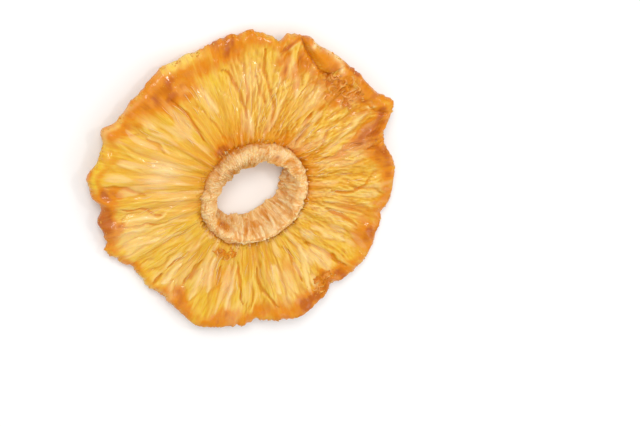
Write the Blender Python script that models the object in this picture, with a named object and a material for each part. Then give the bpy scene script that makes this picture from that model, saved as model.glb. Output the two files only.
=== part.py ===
"""A dried pineapple ring: a lobed and warped slice of flesh round the tall, slanting collar
left of its core. It lies on a table, with the z axis up and the origin under its middle.

The solid is a torus whose points are moved to a section that changes with the angle round
the ring. Angles are in degrees, counter-clockwise from +X, and lengths in millimetres until
the mesh is written in metres.
"""

import math

import bpy
import numpy as np

MM = 0.001

# Mesh: steps round the ring. The steps round a section are the knots of section_knots.
STEPS_ROUND = 180

# Outer edge: the mean radius, its slow drift, and the lobes and notches on it.
EDGE_RADIUS = 38.1
EDGE_DRIFT = ((1, 1.1, 42.0), (2, 1.0, 26.0), (3, 0.35, 60.0))  # waves a turn, height, crest
EDGE_LOBES = (  # angle, half width, height out of the edge
    (19.0, 7.0, -2.8),
    (32.0, 4.2, 2.9),
    (48.0, 8.0, -0.4),
    (70.0, 4.5, 1.3),
    (78.5, 2.8, -2.0),
    (90.0, 5.5, 0.8),
    (111.0, 6.0, -0.8),
    (126.0, 4.0, 0.4),
    (142.0, 6.0, -0.6),
    (159.0, 2.8, 1.7),
    (177.5, 6.5, 2.1),
    (189.0, 3.2, -1.9),
    (199.0, 4.0, -0.9),
    (206.0, 4.0, 0.5),
    (220.0, 8.0, -2.4),
    (235.0, 8.0, -2.3),
    (255.0, 8.0, 1.5),
    (278.0, 3.0, -1.3),
    (296.0, 7.0, 1.2),
    (313.0, 3.2, -1.5),
    (330.0, 8.0, 1.0),
    (349.0, 3.0, -1.1),
)

# Collar of the core: ovals as centre, half width, half length and the angle of the length.
COLLAR_TOP = ((1.8, -1.4), 12.0, 14.3, 37.5)
COLLAR_FOOT = ((0.2, 0.9), 12.0, 13.8, 37.5)
HOLE_TOP = ((2.2, -2.6), 8.9, 10.7, 35.0)
HOLE_FOOT = ((0.1, 1.3), 8.7, 10.4, 35.0)
HOLE_RAGGED = ((7, 0.22, 15.0), (11, 0.2, 3.0), (17, 0.22, 9.0))
COLLAR_HEIGHT = 8.9
COLLAR_CLEARANCE = 0.3  # between the collar's foot and the table
COLLAR_WAVES = ((2, 0.35, 130.0), (5, 0.18, 20.0), (9, 0.12, 0.0))
GROOVE_DEPTH = 1.5
GROOVE_DEPTH_FOOT = 0.9

# Flesh: height of its middle at the collar and at the edge, and its half thickness.
FLESH_HEIGHT = 4.7
EDGE_HEIGHT = 4.3
EDGE_WARP = (  # angle, half width, height over the mean edge: three lobes droop to the table
    (32.0, 17.0, 0.9),
    (101.0, 22.0, -3.05),
    (143.0, 14.0, 0.6),
    (172.0, 13.0, 1.3),
    (223.0, 21.0, -2.75),
    (262.0, 12.0, 0.8),
    (291.0, 10.0, 1.3),
    (339.0, 23.0, -2.75),
)
HALF_AT_COLLAR = 1.75
HALF_AT_MIDDLE = 1.5
HALF_AT_EDGE = 1.85
EDGE_HALF_WAVES = ((4, 0.2, 50.0), (7, 0.15, 28.0))

# Flap folded over the edge at the upper right, with the crevice along its inner side.
FLAP_ANGLE = 60.0
FLAP_HALF_WIDTH = 12.0
FLAP_RADIUS = 36.4
FLAP_HALF_LENGTH = 2.6
FLAP_LIFT = 1.2
CREVICE_RADIUS = 33.0
CREVICE_HALF_LENGTH = 1.3
CREVICE_DEPTH = 0.9

# Ridges that fan out from the collar: count a turn, height, wander of the crests.
TOP_RIDGES = ((34, 0.3, 1.4), (23, 0.26, 2.1))
FOOT_RIDGES = ((31, 0.22, 1.7), (20, 0.2, 2.4))
RIDGE_TURN = 0.9  # radians that a crest drifts between the collar and the edge

FLESH_COLOUR = (0.84, 0.45, 0.10, 1.0)
FLESH_ROUGHNESS = 0.42


def around(angle, centre):
    """The signed way from centre to angle, between -180 and 180 degrees."""
    return (angle - centre + 180.0) % 360.0 - 180.0


def hill(distance, half_width):
    """1 at distance 0, falling smoothly to almost nothing at twice the half width."""
    return np.exp(-((distance / half_width) ** 2))


def waves(angle, terms):
    """A sum of cosines: each term has its waves a turn, its height and the angle of a crest."""
    total = np.zeros_like(angle)
    for count, height, crest in terms:
        total += height * np.cos(count * np.radians(angle - crest))
    return total


def smooth(share):
    """From 0 to 1 with level ends."""
    share = np.clip(share, 0.0, 1.0)
    return share * share * (3.0 - 2.0 * share)


def oval_radius(angle, oval):
    """The distance from the ring's centre to an oval round it, along the angle."""
    (centre_x, centre_y), half_width, half_length, turn = oval
    turned = np.radians(angle - turn)
    along = np.cos(turned) / half_length
    across = np.sin(turned) / half_width
    turn = math.radians(turn)
    centre_along = (centre_x * math.cos(turn) + centre_y * math.sin(turn)) / half_length
    centre_across = (centre_y * math.cos(turn) - centre_x * math.sin(turn)) / half_width
    a = along**2 + across**2
    b = along * centre_along + across * centre_across
    c = centre_along**2 + centre_across**2 - 1.0
    return (b + np.sqrt(b**2 - a * c)) / a


def lobes(angle, terms):
    """A sum of hills: each term has its angle, its half width and its height."""
    total = np.zeros_like(angle)
    for centre, half_width, height in terms:
        total += height * hill(around(angle, centre), half_width)
    return total


def edge_radius(angle):
    return EDGE_RADIUS + waves(angle, EDGE_DRIFT) + lobes(angle, EDGE_LOBES)


def edge_height(angle):
    """The height of the edge's middle."""
    return EDGE_HEIGHT + lobes(angle, EDGE_WARP)


def edge_half(angle):
    """Half the thickness of the edge."""
    return HALF_AT_EDGE + waves(angle, EDGE_HALF_WAVES)


def flesh(angle, inwards):
    """Height of the flesh's middle and its half thickness. inwards is 0 at the edge and 1 at
    the collar."""
    rise = smooth(inwards)
    middle = edge_height(angle) * (1.0 - rise) + FLESH_HEIGHT * rise
    thin = HALF_AT_MIDDLE + (HALF_AT_COLLAR - HALF_AT_MIDDLE) * smooth(inwards * 2.0 - 1.0)
    at_edge = hill(inwards, 0.22)
    return middle, thin * (1.0 - at_edge) + edge_half(angle) * at_edge


def ridges(angle, inwards, terms):
    """Height of the fan of ridges. It dies out at the edge and at the collar."""
    total = np.zeros_like(angle)
    for count, height, wander in terms:
        bend = wander * np.sin(np.radians(3.0 * angle + 7.0 * count))
        drift = RIDGE_TURN * np.sin(np.radians(5.0 * angle)) * inwards
        total += height * np.cos(count * np.radians(angle) + bend + drift)
    return total * smooth(inwards * 7.0) * smooth((1.0 - inwards) * 9.0)


def flap(angle, radius):
    """Lift of the folded flap, less the crevice behind it."""
    share = hill(around(angle, FLAP_ANGLE), FLAP_HALF_WIDTH)
    lift = FLAP_LIFT * hill(radius - FLAP_RADIUS, FLAP_HALF_LENGTH)
    crevice = CREVICE_DEPTH * hill(radius - CREVICE_RADIUS, CREVICE_HALF_LENGTH)
    return share * (lift - crevice)


def section_knots(angle):
    """The section at each angle, as lists of (radius, height) from the outermost point over
    the top to the hole and back along the foot."""
    edge = edge_radius(angle)
    height = edge_height(angle)
    half = edge_half(angle)
    collar = oval_radius(angle, COLLAR_TOP)
    foot = oval_radius(angle, COLLAR_FOOT)
    ragged = waves(angle, HOLE_RAGGED)
    hole = oval_radius(angle, HOLE_TOP) + ragged
    hole_foot = oval_radius(angle, HOLE_FOOT) - ragged
    crest = COLLAR_CLEARANCE + COLLAR_HEIGHT + waves(angle, COLLAR_WAVES)
    base = COLLAR_CLEARANCE + np.zeros_like(angle)

    def on_flesh(inwards, side, inner, terms):
        middle, thick = flesh(angle, np.full_like(angle, inwards))
        radius = edge + (inner - edge) * inwards
        relief = ridges(angle, inwards, terms)
        if side > 0:
            relief = relief + flap(angle, radius)
        return radius, middle + side * thick + relief

    knots = [
        (edge, height),
        (edge - 0.35 * half, height + 0.66 * half),
    ]
    for inwards in (0.07, 0.16, 0.27, 0.39, 0.51, 0.63, 0.75, 0.86):
        knots.append(on_flesh(inwards, 1.0, collar, TOP_RIDGES))
    lip_radius, lip = on_flesh(0.96, 1.0, collar, TOP_RIDGES)
    knots += [
        (lip_radius, lip - 0.2),
        (collar, lip - GROOVE_DEPTH),
        (collar - 0.9, crest - 0.7),
        (0.5 * (collar + hole), crest),
        (hole + 0.2, crest - 0.9),
        (0.5 * (hole + hole_foot), 0.5 * (crest + base)),
        (hole_foot + 0.2, base + 0.9),
        (0.5 * (foot + hole_foot), base),
        (foot - 0.9, base + 0.6),
    ]
    lip_radius, lip = on_flesh(0.96, -1.0, foot, FOOT_RIDGES)
    knots.append((foot, lip + GROOVE_DEPTH_FOOT))
    for inwards in (0.9, 0.75, 0.6, 0.45, 0.3, 0.17, 0.07):
        knots.append(on_flesh(inwards, -1.0, foot, FOOT_RIDGES))
    knots.append((edge - 0.35 * half, height - 0.66 * half))
    return knots


def ring_points():
    """Points of the ring by step round it and by knot of its section, with the part of the
    lobes that would sink into the table cut level."""
    angle = np.arange(STEPS_ROUND) * 360.0 / STEPS_ROUND
    knots = section_knots(angle)
    radius = np.stack([knot[0] for knot in knots], axis=1)
    height = np.stack([knot[1] for knot in knots], axis=1)
    turned = np.radians(angle)[:, None]
    points = np.stack([radius * np.cos(turned), radius * np.sin(turned), height], axis=2)
    points[..., 2] = np.maximum(points[..., 2], 0.0)
    middle = 0.5 * (points.min(axis=(0, 1)) + points.max(axis=(0, 1)))
    points[..., :2] -= middle[:2]
    return points


def flesh_material():
    material = bpy.data.materials.new("dried_flesh")
    material.use_nodes = True
    shader = material.node_tree.nodes["Principled BSDF"]
    shader.inputs["Base Color"].default_value = FLESH_COLOUR
    shader.inputs["Roughness"].default_value = FLESH_ROUGHNESS
    shader.inputs["Metallic"].default_value = 0.0
    return material


def make_ring(collection):
    points = ring_points()
    steps, knots = points.shape[:2]
    bpy.ops.mesh.primitive_torus_add(
        major_segments=steps,
        minor_segments=knots,
        major_radius=25.0 * MM,
        minor_radius=10.0 * MM,
    )
    ring = bpy.context.object
    ring.name = "pineapple_ring"
    ring.data.name = "pineapple_ring"
    for vertex in ring.data.vertices:
        x, y, z = vertex.co
        step = round(math.atan2(y, x) / math.tau * steps) % steps
        out = math.hypot(x, y) - 25.0 * MM
        knot = round(math.atan2(z, out) / math.tau * knots) % knots
        vertex.co = points[step, knot] * MM
    ring.data.shade_smooth()
    ring.data.set_sharp_from_angle(angle=math.radians(60.0))
    ring.data.materials.append(flesh_material())
    for owner in list(ring.users_collection):
        owner.objects.unlink(ring)
    collection.objects.link(ring)
    return ring


def main():
    for old in list(bpy.data.objects):
        bpy.data.objects.remove(old, do_unlink=True)
    collection = bpy.data.collections.new("dried_pineapple_ring")
    bpy.context.scene.collection.children.link(collection)
    make_ring(collection)


main()
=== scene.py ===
import functools
import itertools
import math

import bpy
import numpy as np
from bpy.props import FloatProperty, FloatVectorProperty, IntProperty, PointerProperty
from bpy.types import Operator, Panel, PropertyGroup
from mathutils import Matrix, Vector


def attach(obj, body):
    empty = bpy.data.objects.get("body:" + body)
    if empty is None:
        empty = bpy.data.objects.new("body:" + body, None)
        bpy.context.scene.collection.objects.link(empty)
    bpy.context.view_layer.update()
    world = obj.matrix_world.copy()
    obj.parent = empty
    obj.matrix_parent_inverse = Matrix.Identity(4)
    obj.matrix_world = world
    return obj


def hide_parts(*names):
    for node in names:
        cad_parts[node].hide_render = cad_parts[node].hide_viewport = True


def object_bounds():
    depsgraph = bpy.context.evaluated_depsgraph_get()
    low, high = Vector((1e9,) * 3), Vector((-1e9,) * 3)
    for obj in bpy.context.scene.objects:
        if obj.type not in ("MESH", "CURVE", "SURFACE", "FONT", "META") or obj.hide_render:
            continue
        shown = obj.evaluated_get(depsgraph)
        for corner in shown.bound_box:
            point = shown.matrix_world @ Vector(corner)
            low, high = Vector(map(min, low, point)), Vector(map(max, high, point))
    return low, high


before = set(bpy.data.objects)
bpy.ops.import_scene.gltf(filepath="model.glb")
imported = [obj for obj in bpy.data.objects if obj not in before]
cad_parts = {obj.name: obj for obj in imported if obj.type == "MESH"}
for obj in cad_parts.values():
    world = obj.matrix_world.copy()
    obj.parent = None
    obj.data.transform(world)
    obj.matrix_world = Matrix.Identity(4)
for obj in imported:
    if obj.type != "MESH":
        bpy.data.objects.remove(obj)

bl_info = {
    "name": "Dried Pineapple Ring",
    "version": (1, 0, 0),
    "blender": (4, 5, 0),
    "location": "3D View > Sidebar > Dried Ring",
    "description": "A dried pineapple ring with fanned flesh, folded edge and fibrous collar",
    "category": "Add Mesh",
}

# Angles are in degrees, counter-clockwise from +X, and lengths in millimetres until a mesh is
# written in metres.
MM = 0.001
CAD_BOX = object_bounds()
BOX_MARGIN = 0.02  # how far inside the solid's box the skin stays
NODE = "pineapple_ring"

# Outer edge, as in the solid: slow drift (waves a turn, height, crest), lobes (angle, half
# width, height) and the warp that lifts it or lets it droop (angle, half width, height).
EDGE_DRIFT = ((1, 1.1, 42.0), (2, 1.0, 26.0), (3, 0.35, 60.0))
EDGE_LOBES = (
    (19, 7, -2.8), (32, 4.2, 2.9), (48, 8, -0.4), (70, 4.5, 1.3), (78.5, 2.8, -2), (90, 5.5, 0.8),
    (111, 6, -0.8), (126, 4, 0.4), (142, 6, -0.6), (159, 2.8, 1.7), (177.5, 6.5, 2.1),
    (189, 3.2, -1.9), (199, 4, -0.9), (206, 4, 0.5), (220, 8, -2.4), (235, 8, -2.3), (255, 8, 1.5),
    (278, 3, -1.3), (296, 7, 1.2), (313, 3.2, -1.5), (330, 8, 1), (349, 3, -1.1),
)
EDGE_WARP = (
    (32, 17, 0.9), (101, 22, -3.05), (143, 14, 0.6), (172, 13, 1.3), (223, 21, -2.75),
    (262, 12, 0.8), (291, 10, 1.3), (339, 23, -2.75),
)
EDGE_HALF_WAVES = ((4, 0.2, 50.0), (7, 0.15, 28.0))
EDGE_ROUND = 2.5  # how far in from the edge its rounding reaches

# Collar of the core, as in the solid: ovals as centre, half width, half length and turn.
COLLAR_TOP = ((1.8, -1.4), 12.0, 14.3, 37.5)
COLLAR_FOOT = ((0.2, 0.9), 12.0, 13.8, 37.5)
HOLE_TOP = ((2.2, -2.6), 8.9, 10.7, 35.0)
HOLE_FOOT = ((0.1, 1.3), 8.7, 10.4, 35.0)
# Waves of the hole's side, the finest a little lower than the solid's.
HOLE_RAGGED = ((7, 0.22, 15.0), (11, 0.2, 3.0), (17, 0.12, 9.0))
COLLAR_CLEARANCE = 0.3
COLLAR_WAVES = ((2, 0.35, 130.0), (5, 0.18, 20.0), (9, 0.12, 0.0))
GROOVE_DEPTH_FOOT = 0.9
GROOVE_OUT = 0.1  # how far out from the collar the groove on top is deepest

# Flesh, as in the solid.
FLESH_HEIGHT = 4.7
EDGE_HEIGHT = 4.3
HALF_AT_COLLAR = 1.75
HALF_AT_MIDDLE = 1.5
TOP_RIDGES = ((34, 0.3, 1.4), (23, 0.26, 2.1))
FOOT_RIDGES = ((31, 0.22, 1.7), (20, 0.2, 2.4))
RIDGE_TURN = 0.9

FLOW_REACH = 6.0  # how far, in degrees, the strands may drift from the radius
FLOWS = ((8, 2, 3.2), (19, 3, 2.0), (44, 4, 0.8))  # cells round, cells along and drift

# The solid's own steps, which fix the spot that it is centred on.
SOLID_STEPS = 180


def around(angle, centre):
    """The signed way from centre to angle, between -180 and 180 degrees."""
    return (angle - centre + 180.0) % 360.0 - 180.0


def hill(distance, half_width):
    """1 at distance 0, falling smoothly to almost nothing at twice the half width."""
    return np.exp(-((distance / half_width) ** 2))


def smooth(share):
    """From 0 to 1 with level ends."""
    share = np.clip(share, 0.0, 1.0)
    return share * share * (3.0 - 2.0 * share)


def waves(angle, terms):
    """A sum of cosines: each term has its waves a turn, its height and the angle of a crest."""
    total = np.zeros_like(angle)
    for count, height, crest in terms:
        total += height * np.cos(count * np.radians(angle - crest))
    return total


def lobes(angle, terms):
    """A sum of hills: each term has its angle, its half width and its height."""
    total = np.zeros_like(angle)
    for centre, half_width, height in terms:
        total += height * hill(around(angle, centre), half_width)
    return total


def oval_radius(angle, oval):
    """The distance from the ring's centre to an oval round it, along the angle."""
    (centre_x, centre_y), half_width, half_length, turn = oval
    turned = np.radians(angle - turn)
    along = np.cos(turned) / half_length
    across = np.sin(turned) / half_width
    turn = math.radians(turn)
    centre_along = (centre_x * math.cos(turn) + centre_y * math.sin(turn)) / half_length
    centre_across = (centre_y * math.cos(turn) - centre_x * math.sin(turn)) / half_width
    a = along**2 + across**2
    b = along * centre_along + across * centre_across
    c = centre_along**2 + centre_across**2 - 1.0
    return (b + np.sqrt(b**2 - a * c)) / a


def edge_radius(shape, angle):
    return shape.edge_radius / MM + waves(angle, EDGE_DRIFT) + lobes(angle, EDGE_LOBES)


def edge_height(angle):
    return EDGE_HEIGHT + lobes(angle, EDGE_WARP)


def edge_half(shape, angle):
    return shape.edge_half / MM + waves(angle, EDGE_HALF_WAVES)


def flesh(shape, angle, inwards):
    """Height of the flesh's middle and its half thickness. inwards is 0 at the edge and 1 at
    the collar."""
    rise = smooth(inwards)
    middle = edge_height(angle) * (1.0 - rise) + FLESH_HEIGHT * rise
    thin = HALF_AT_MIDDLE + (HALF_AT_COLLAR - HALF_AT_MIDDLE) * smooth(inwards * 2.0 - 1.0)
    at_edge = hill(inwards, 0.22)
    return middle, thin * (1.0 - at_edge) + edge_half(shape, angle) * at_edge


def ridges(angle, inwards, terms):
    """Height of the solid's fan of ridges."""
    total = np.zeros_like(angle)
    for count, height, wander in terms:
        bend = wander * np.sin(np.radians(3.0 * angle + 7.0 * count))
        drift = RIDGE_TURN * np.sin(np.radians(5.0 * angle)) * inwards
        total += height * np.cos(count * np.radians(angle) + bend + drift)
    return total * smooth(inwards * 7.0) * smooth((1.0 - inwards) * 9.0)


def solid_centre(shape):
    """The plan centre of the solid, whose outermost points are on its own steps of the edge."""
    angle = np.arange(SOLID_STEPS) * 360.0 / SOLID_STEPS
    turned = np.radians(angle)
    plan = edge_radius(shape, angle) * np.array((np.cos(turned), np.sin(turned)))
    return 0.5 * (plan.min(axis=1) + plan.max(axis=1))


def placed(shape, angle, radius, height):
    """Points in millimetres, with the solid's plan centre as the origin."""
    turned = np.radians(angle)
    parts = np.broadcast_arrays(radius * np.cos(turned), radius * np.sin(turned), height)
    points = np.stack(parts, axis=-1)
    points[..., :2] -= solid_centre(shape)
    return points


def rounding(from_edge):
    """The share of the flesh's half thickness that is left, this far in from the edge."""
    bend = np.clip(from_edge / EDGE_ROUND, 0.0, 1.0)
    return np.sqrt(1.0 - (1.0 - bend) ** 2)


def highest(*parts):
    """The highest of the values at each point."""
    return functools.reduce(np.maximum, parts)


def patchy(angle, share, cells_round, cells_along, seed):
    """Smooth random values between -1 and 1 that close up round the ring. share runs from 0 to
    1 along the section."""
    draw = np.random.default_rng(seed).uniform(-1.0, 1.0, (cells_round, cells_along + 2))
    column = (angle % 360.0) / 360.0 * cells_round
    row = np.clip(share, 0.0, 0.9999) * cells_along
    first_column = np.floor(column).astype(int)
    first_row = np.floor(row).astype(int)
    part_column = smooth(column - first_column)
    part_row = smooth(row - first_row)
    left = first_column % cells_round
    right = (first_column + 1) % cells_round
    low = draw[left, first_row] * (1.0 - part_column) + draw[right, first_row] * part_column
    high = draw[left, first_row + 1] * (1.0 - part_column)
    high = high + draw[right, first_row + 1] * part_column
    return low * (1.0 - part_row) + high * part_row


def show_over(height, tone, index, bump, own):
    """Lets a bump and its own tone show where it is higher than what is there."""
    shows = bump > height[index]
    height[index] = np.where(shows, bump, height[index])
    tone[index] = np.where(shows, own, tone[index])


def lay_strands(strands, angle, radius):
    """Heights of long low strands laid over each other, the highest one showing, and the tone
    of the one that shows. Each strand has its angle, radius, half length, half width, height,
    lean from the radius in degrees, bow and tone. angle and radius are grids, with one row for
    each step round the ring, and no angle is further than FLOW_REACH from its step's own."""
    steps = len(angle)
    height = np.zeros_like(radius)
    tone = np.full_like(radius, 0.5)
    for at, out, half_length, half_width, high, lean, bow, own in strands:
        lean_r = math.radians(lean)
        reach = half_length * abs(math.sin(lean_r)) + half_width + abs(bow) * half_length**2
        inner = max(out - half_length, 6.0)
        window = int((math.degrees(reach / inner) + FLOW_REACH) / 360.0 * steps) + 3
        middle = int(round(at / 360.0 * steps))
        index = np.arange(middle - window, middle + window + 1) % steps
        near = radius[index]
        turned = np.radians(around(angle[index], at))
        x = near * np.cos(turned) - out
        y = near * np.sin(turned)
        along = (x * math.cos(lean_r) + y * math.sin(lean_r)) / half_length
        across = y * math.cos(lean_r) - x * math.sin(lean_r) - bow * (along * half_length) ** 2
        left = np.clip(1.0 - along**2, 0.0, 1.0)
        width = half_width * np.sqrt(left) + 1e-6
        bump = high * np.clip(1.0 - (across / width) ** 2, 0.0, 1.0) * left**0.35
        show_over(height, tone, index, bump, own)
    return height, tone


def on_ring(angle, radius):
    """A point of the plan, from its angle and radius."""
    turned = math.radians(angle)
    return np.array((radius * math.cos(turned), radius * math.sin(turned)))


def keep_nearest(gap, own, nearest):
    """Updates the nearest gap, the second nearest and the nearest one's own value."""
    first, second, value = nearest
    closer = gap < first
    second = np.where(closer, first, np.minimum(second, gap))
    return np.where(closer, gap, first), second, np.where(closer, own, value)


def side_by_side(column, count, seed):
    """Uneven cells side by side round the ring: how far each point is from the nearest border,
    in cells, and a value of each cell's own."""
    draw = np.random.default_rng(seed)
    middles = draw.uniform(0.14, 0.86, count)
    own = draw.uniform(0.0, 1.0, count)
    cell = np.floor(column).astype(int)
    nearest = (np.full(column.shape, 9.0), np.full(column.shape, 9.0), np.zeros(column.shape))
    for step in (-1, 0, 1):
        index = (cell + step) % count
        gap = np.abs(column - cell - step - middles[index])
        nearest = keep_nearest(gap, own[index], nearest)
    return nearest[1] - nearest[0], nearest[2]


def crumbs(x, y, seed, columns=256):
    """Uneven lumps on a plane of unit cells: from 0 between them to 1 on top, and a value of
    each lump's own. The cells repeat after so many columns."""
    rows = 256
    draw = np.random.default_rng(seed)
    middles = draw.uniform(0.12, 0.88, (columns, rows, 2))
    own = draw.uniform(0.0, 1.0, (columns, rows))
    cell_x = np.floor(x).astype(int)
    cell_y = np.floor(y).astype(int)
    nearest = (np.full(x.shape, 9.0), np.full(x.shape, 9.0), np.zeros(x.shape))
    for step_x in (-1, 0, 1):
        for step_y in (-1, 0, 1):
            column = (cell_x + step_x) % columns
            row = (cell_y + step_y) % rows
            middle = middles[column, row]
            gap = np.hypot(
                x - cell_x - step_x - middle[..., 0], y - cell_y - step_y - middle[..., 1]
            )
            nearest = keep_nearest(gap, own[column, row], nearest)
    return np.clip((nearest[1] - nearest[0]) / 0.55, 0.0, 1.0), nearest[2]


def line_share(x, y, line):
    """How near each point of the plan is to a line: 1 on it, fading over its half width, which
    narrows towards its ends. The line has its half width, its strength and its points, each an
    angle and a radius."""
    half_width, _, points = line
    knots = [on_ring(*point) for point in points]
    whole = sum(np.linalg.norm(end - start) for start, end in zip(knots, knots[1:]))
    share = np.zeros_like(x)
    before = 0.0
    for start, end in zip(knots, knots[1:]):
        length = np.linalg.norm(end - start)
        way = (end - start) / length
        along = np.clip((x - start[0]) * way[0] + (y - start[1]) * way[1], 0.0, length)
        gap = np.hypot(x - start[0] - along * way[0], y - start[1] - along * way[1])
        taper = 0.4 + 0.6 * smooth(1.0 - abs(2.0 * (before + along) / whole - 1.0)) ** 0.4
        share = np.maximum(share, hill(gap, half_width * taper))
        before += length
    return share


def marked(x, y, lines):
    """The strongest of the lines at each point, without and with their strengths."""
    share = np.zeros_like(x)
    strong = np.zeros_like(x)
    for line in lines:
        near = line_share(x, y, line)
        share = np.maximum(share, near)
        strong = np.maximum(strong, near * line[1])
    return share, strong


def patches(angle, radius, depth, spots):
    """The strongest of the patches at each point. A patch has its angle, its depth in from the
    edge, its half widths round the ring and along the radius, and its strength."""
    share = np.zeros_like(radius)
    for at, own_depth, half_round, half_deep, strength in spots:
        sideways = radius * np.radians(around(angle, at)) / half_round
        near = np.hypot(sideways, (depth - own_depth) / half_deep)
        share = np.maximum(share, strength * hill(near, 1.0))
    return share


def blur_round(values, half_window):
    """Mean over a window of steps round the ring."""
    total = np.zeros_like(values)
    for step in range(-half_window, half_window + 1):
        total += np.roll(values, step, axis=0)
    return total / (2 * half_window + 1)


def tinted_mesh(name, points, faces, tints):
    """A smooth mesh from points in millimetres, with the tints that its material reads."""
    mesh = bpy.data.meshes.new(name)
    mesh.from_pydata((inside_box(points.reshape(-1, 3)) * MM).tolist(), [], faces)
    mesh.update()
    mesh.shade_smooth()
    tint = mesh.color_attributes.new("tint", "FLOAT_COLOR", "POINT")
    tint.data.foreach_set("color", tints.reshape(-1).astype(np.float32))
    return mesh


def closed_grid(name, points, tints):
    """A mesh from a grid of points that closes in both directions."""
    at = np.arange(points.shape[0] * points.shape[1]).reshape(points.shape[:2])
    beside = np.roll(at, -1, axis=0)
    corners = (at, beside, np.roll(beside, -1, axis=1), np.roll(at, -1, axis=1))
    faces = np.stack(corners, axis=2).reshape(-1, 4).tolist()
    return tinted_mesh(name, points, faces, tints)


def inside_box(points):
    """Points in millimetres, kept just inside the solid's box."""
    low, high = (np.array(corner) / MM for corner in CAD_BOX)
    return np.clip(points, low + BOX_MARGIN, high - BOX_MARGIN)


# Flesh: the fan is cut into bundles, each layer finer than the last: count round the ring,
# height, wander of the valleys in cells, width of a valley in cells.
BUNDLES = (
    (48, 0.66, 0.85, 0.55), (98, 0.3, 1, 0.5), (210, 0.13, 1.2, 0.5),
)
# Loose strands over the bundles, in rows: radius, count, half length, half width, height.
STRAND_ROWS = (
    (16.5, 44, 2.6, 0.7, 0.42), (19.5, 38, 4.2, 1, 0.55), (23.5, 38, 5.4, 1.3, 0.68),
    (28, 34, 5.4, 1.55, 0.68), (32, 28, 3.6, 1.6, 0.45),
)

# Smooth glazed band along the edge, where the fan dies out: angle, width, strength of amber.
RIM_BAND = (
    (0, 5, 0.7), (18, 6.5, 1), (30, 5, 0.85), (44, 3.5, 0.9), (60, 3, 0.7), (78, 2.6, 0.6),
    (88, 4, 0.55), (97, 6.5, 0.75), (106, 8, 1), (114, 8, 0.75), (124, 9.5, 1), (134, 9.5, 0.9),
    (144, 9, 0.75), (154, 8, 0.7), (163, 5.5, 0.5), (172, 4.5, 0.55), (179, 6, 0.85),
    (187, 5, 0.8), (195, 6.5, 1.2), (203, 4, 0.75), (213, 3.4, 0.8), (224, 2.6, 0.28),
    (236, 3.6, 0.7), (252, 4.5, 0.5), (264, 6.5, 0.95), (280, 5, 0.55), (294, 7, 0.9),
    (310, 6, 1.1), (324, 4.5, 0.6), (340, 7, 1), (352, 5, 0.6),
)

# The folded flap: where it starts and ends and how far each end fades, then its inner rim as
# angle and radius.
FLAP_START = (50.5, 3.0)
FLAP_END = (74.0, 1.5)
FLAP_INNER = (
    (50.5, 40.2), (52, 39.7), (54, 38.3), (55.2, 36.8), (56.2, 35), (57.5, 34.4), (60, 34.4),
    (62, 34.7), (65, 35.5), (68, 36.8), (70, 38), (72, 39.2), (73.5, 40.2),
)

# Groove round the collar: angle, share of its depth, half width, share of painted shade.
GROOVE = (
    (0, 1, 0.5, 0.9), (25, 1.2, 0.7, 1), (50, 0.8, 0.45, 0.8), (75, 0.7, 0.4, 0.65),
    (100, 0.9, 0.5, 0.9), (128, 1.3, 0.9, 0.9), (145, 0.6, 0.45, 0.55), (165, 0.4, 0.4, 0.4),
    (190, 0.45, 0.4, 0.5), (212, 0.7, 0.45, 0.75), (232, 0.8, 0.5, 0.8), (250, 0.8, 0.6, 0.75),
    (280, 0.7, 0.5, 0.7), (310, 1, 0.7, 1), (335, 1.2, 0.55, 1),
)
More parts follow.
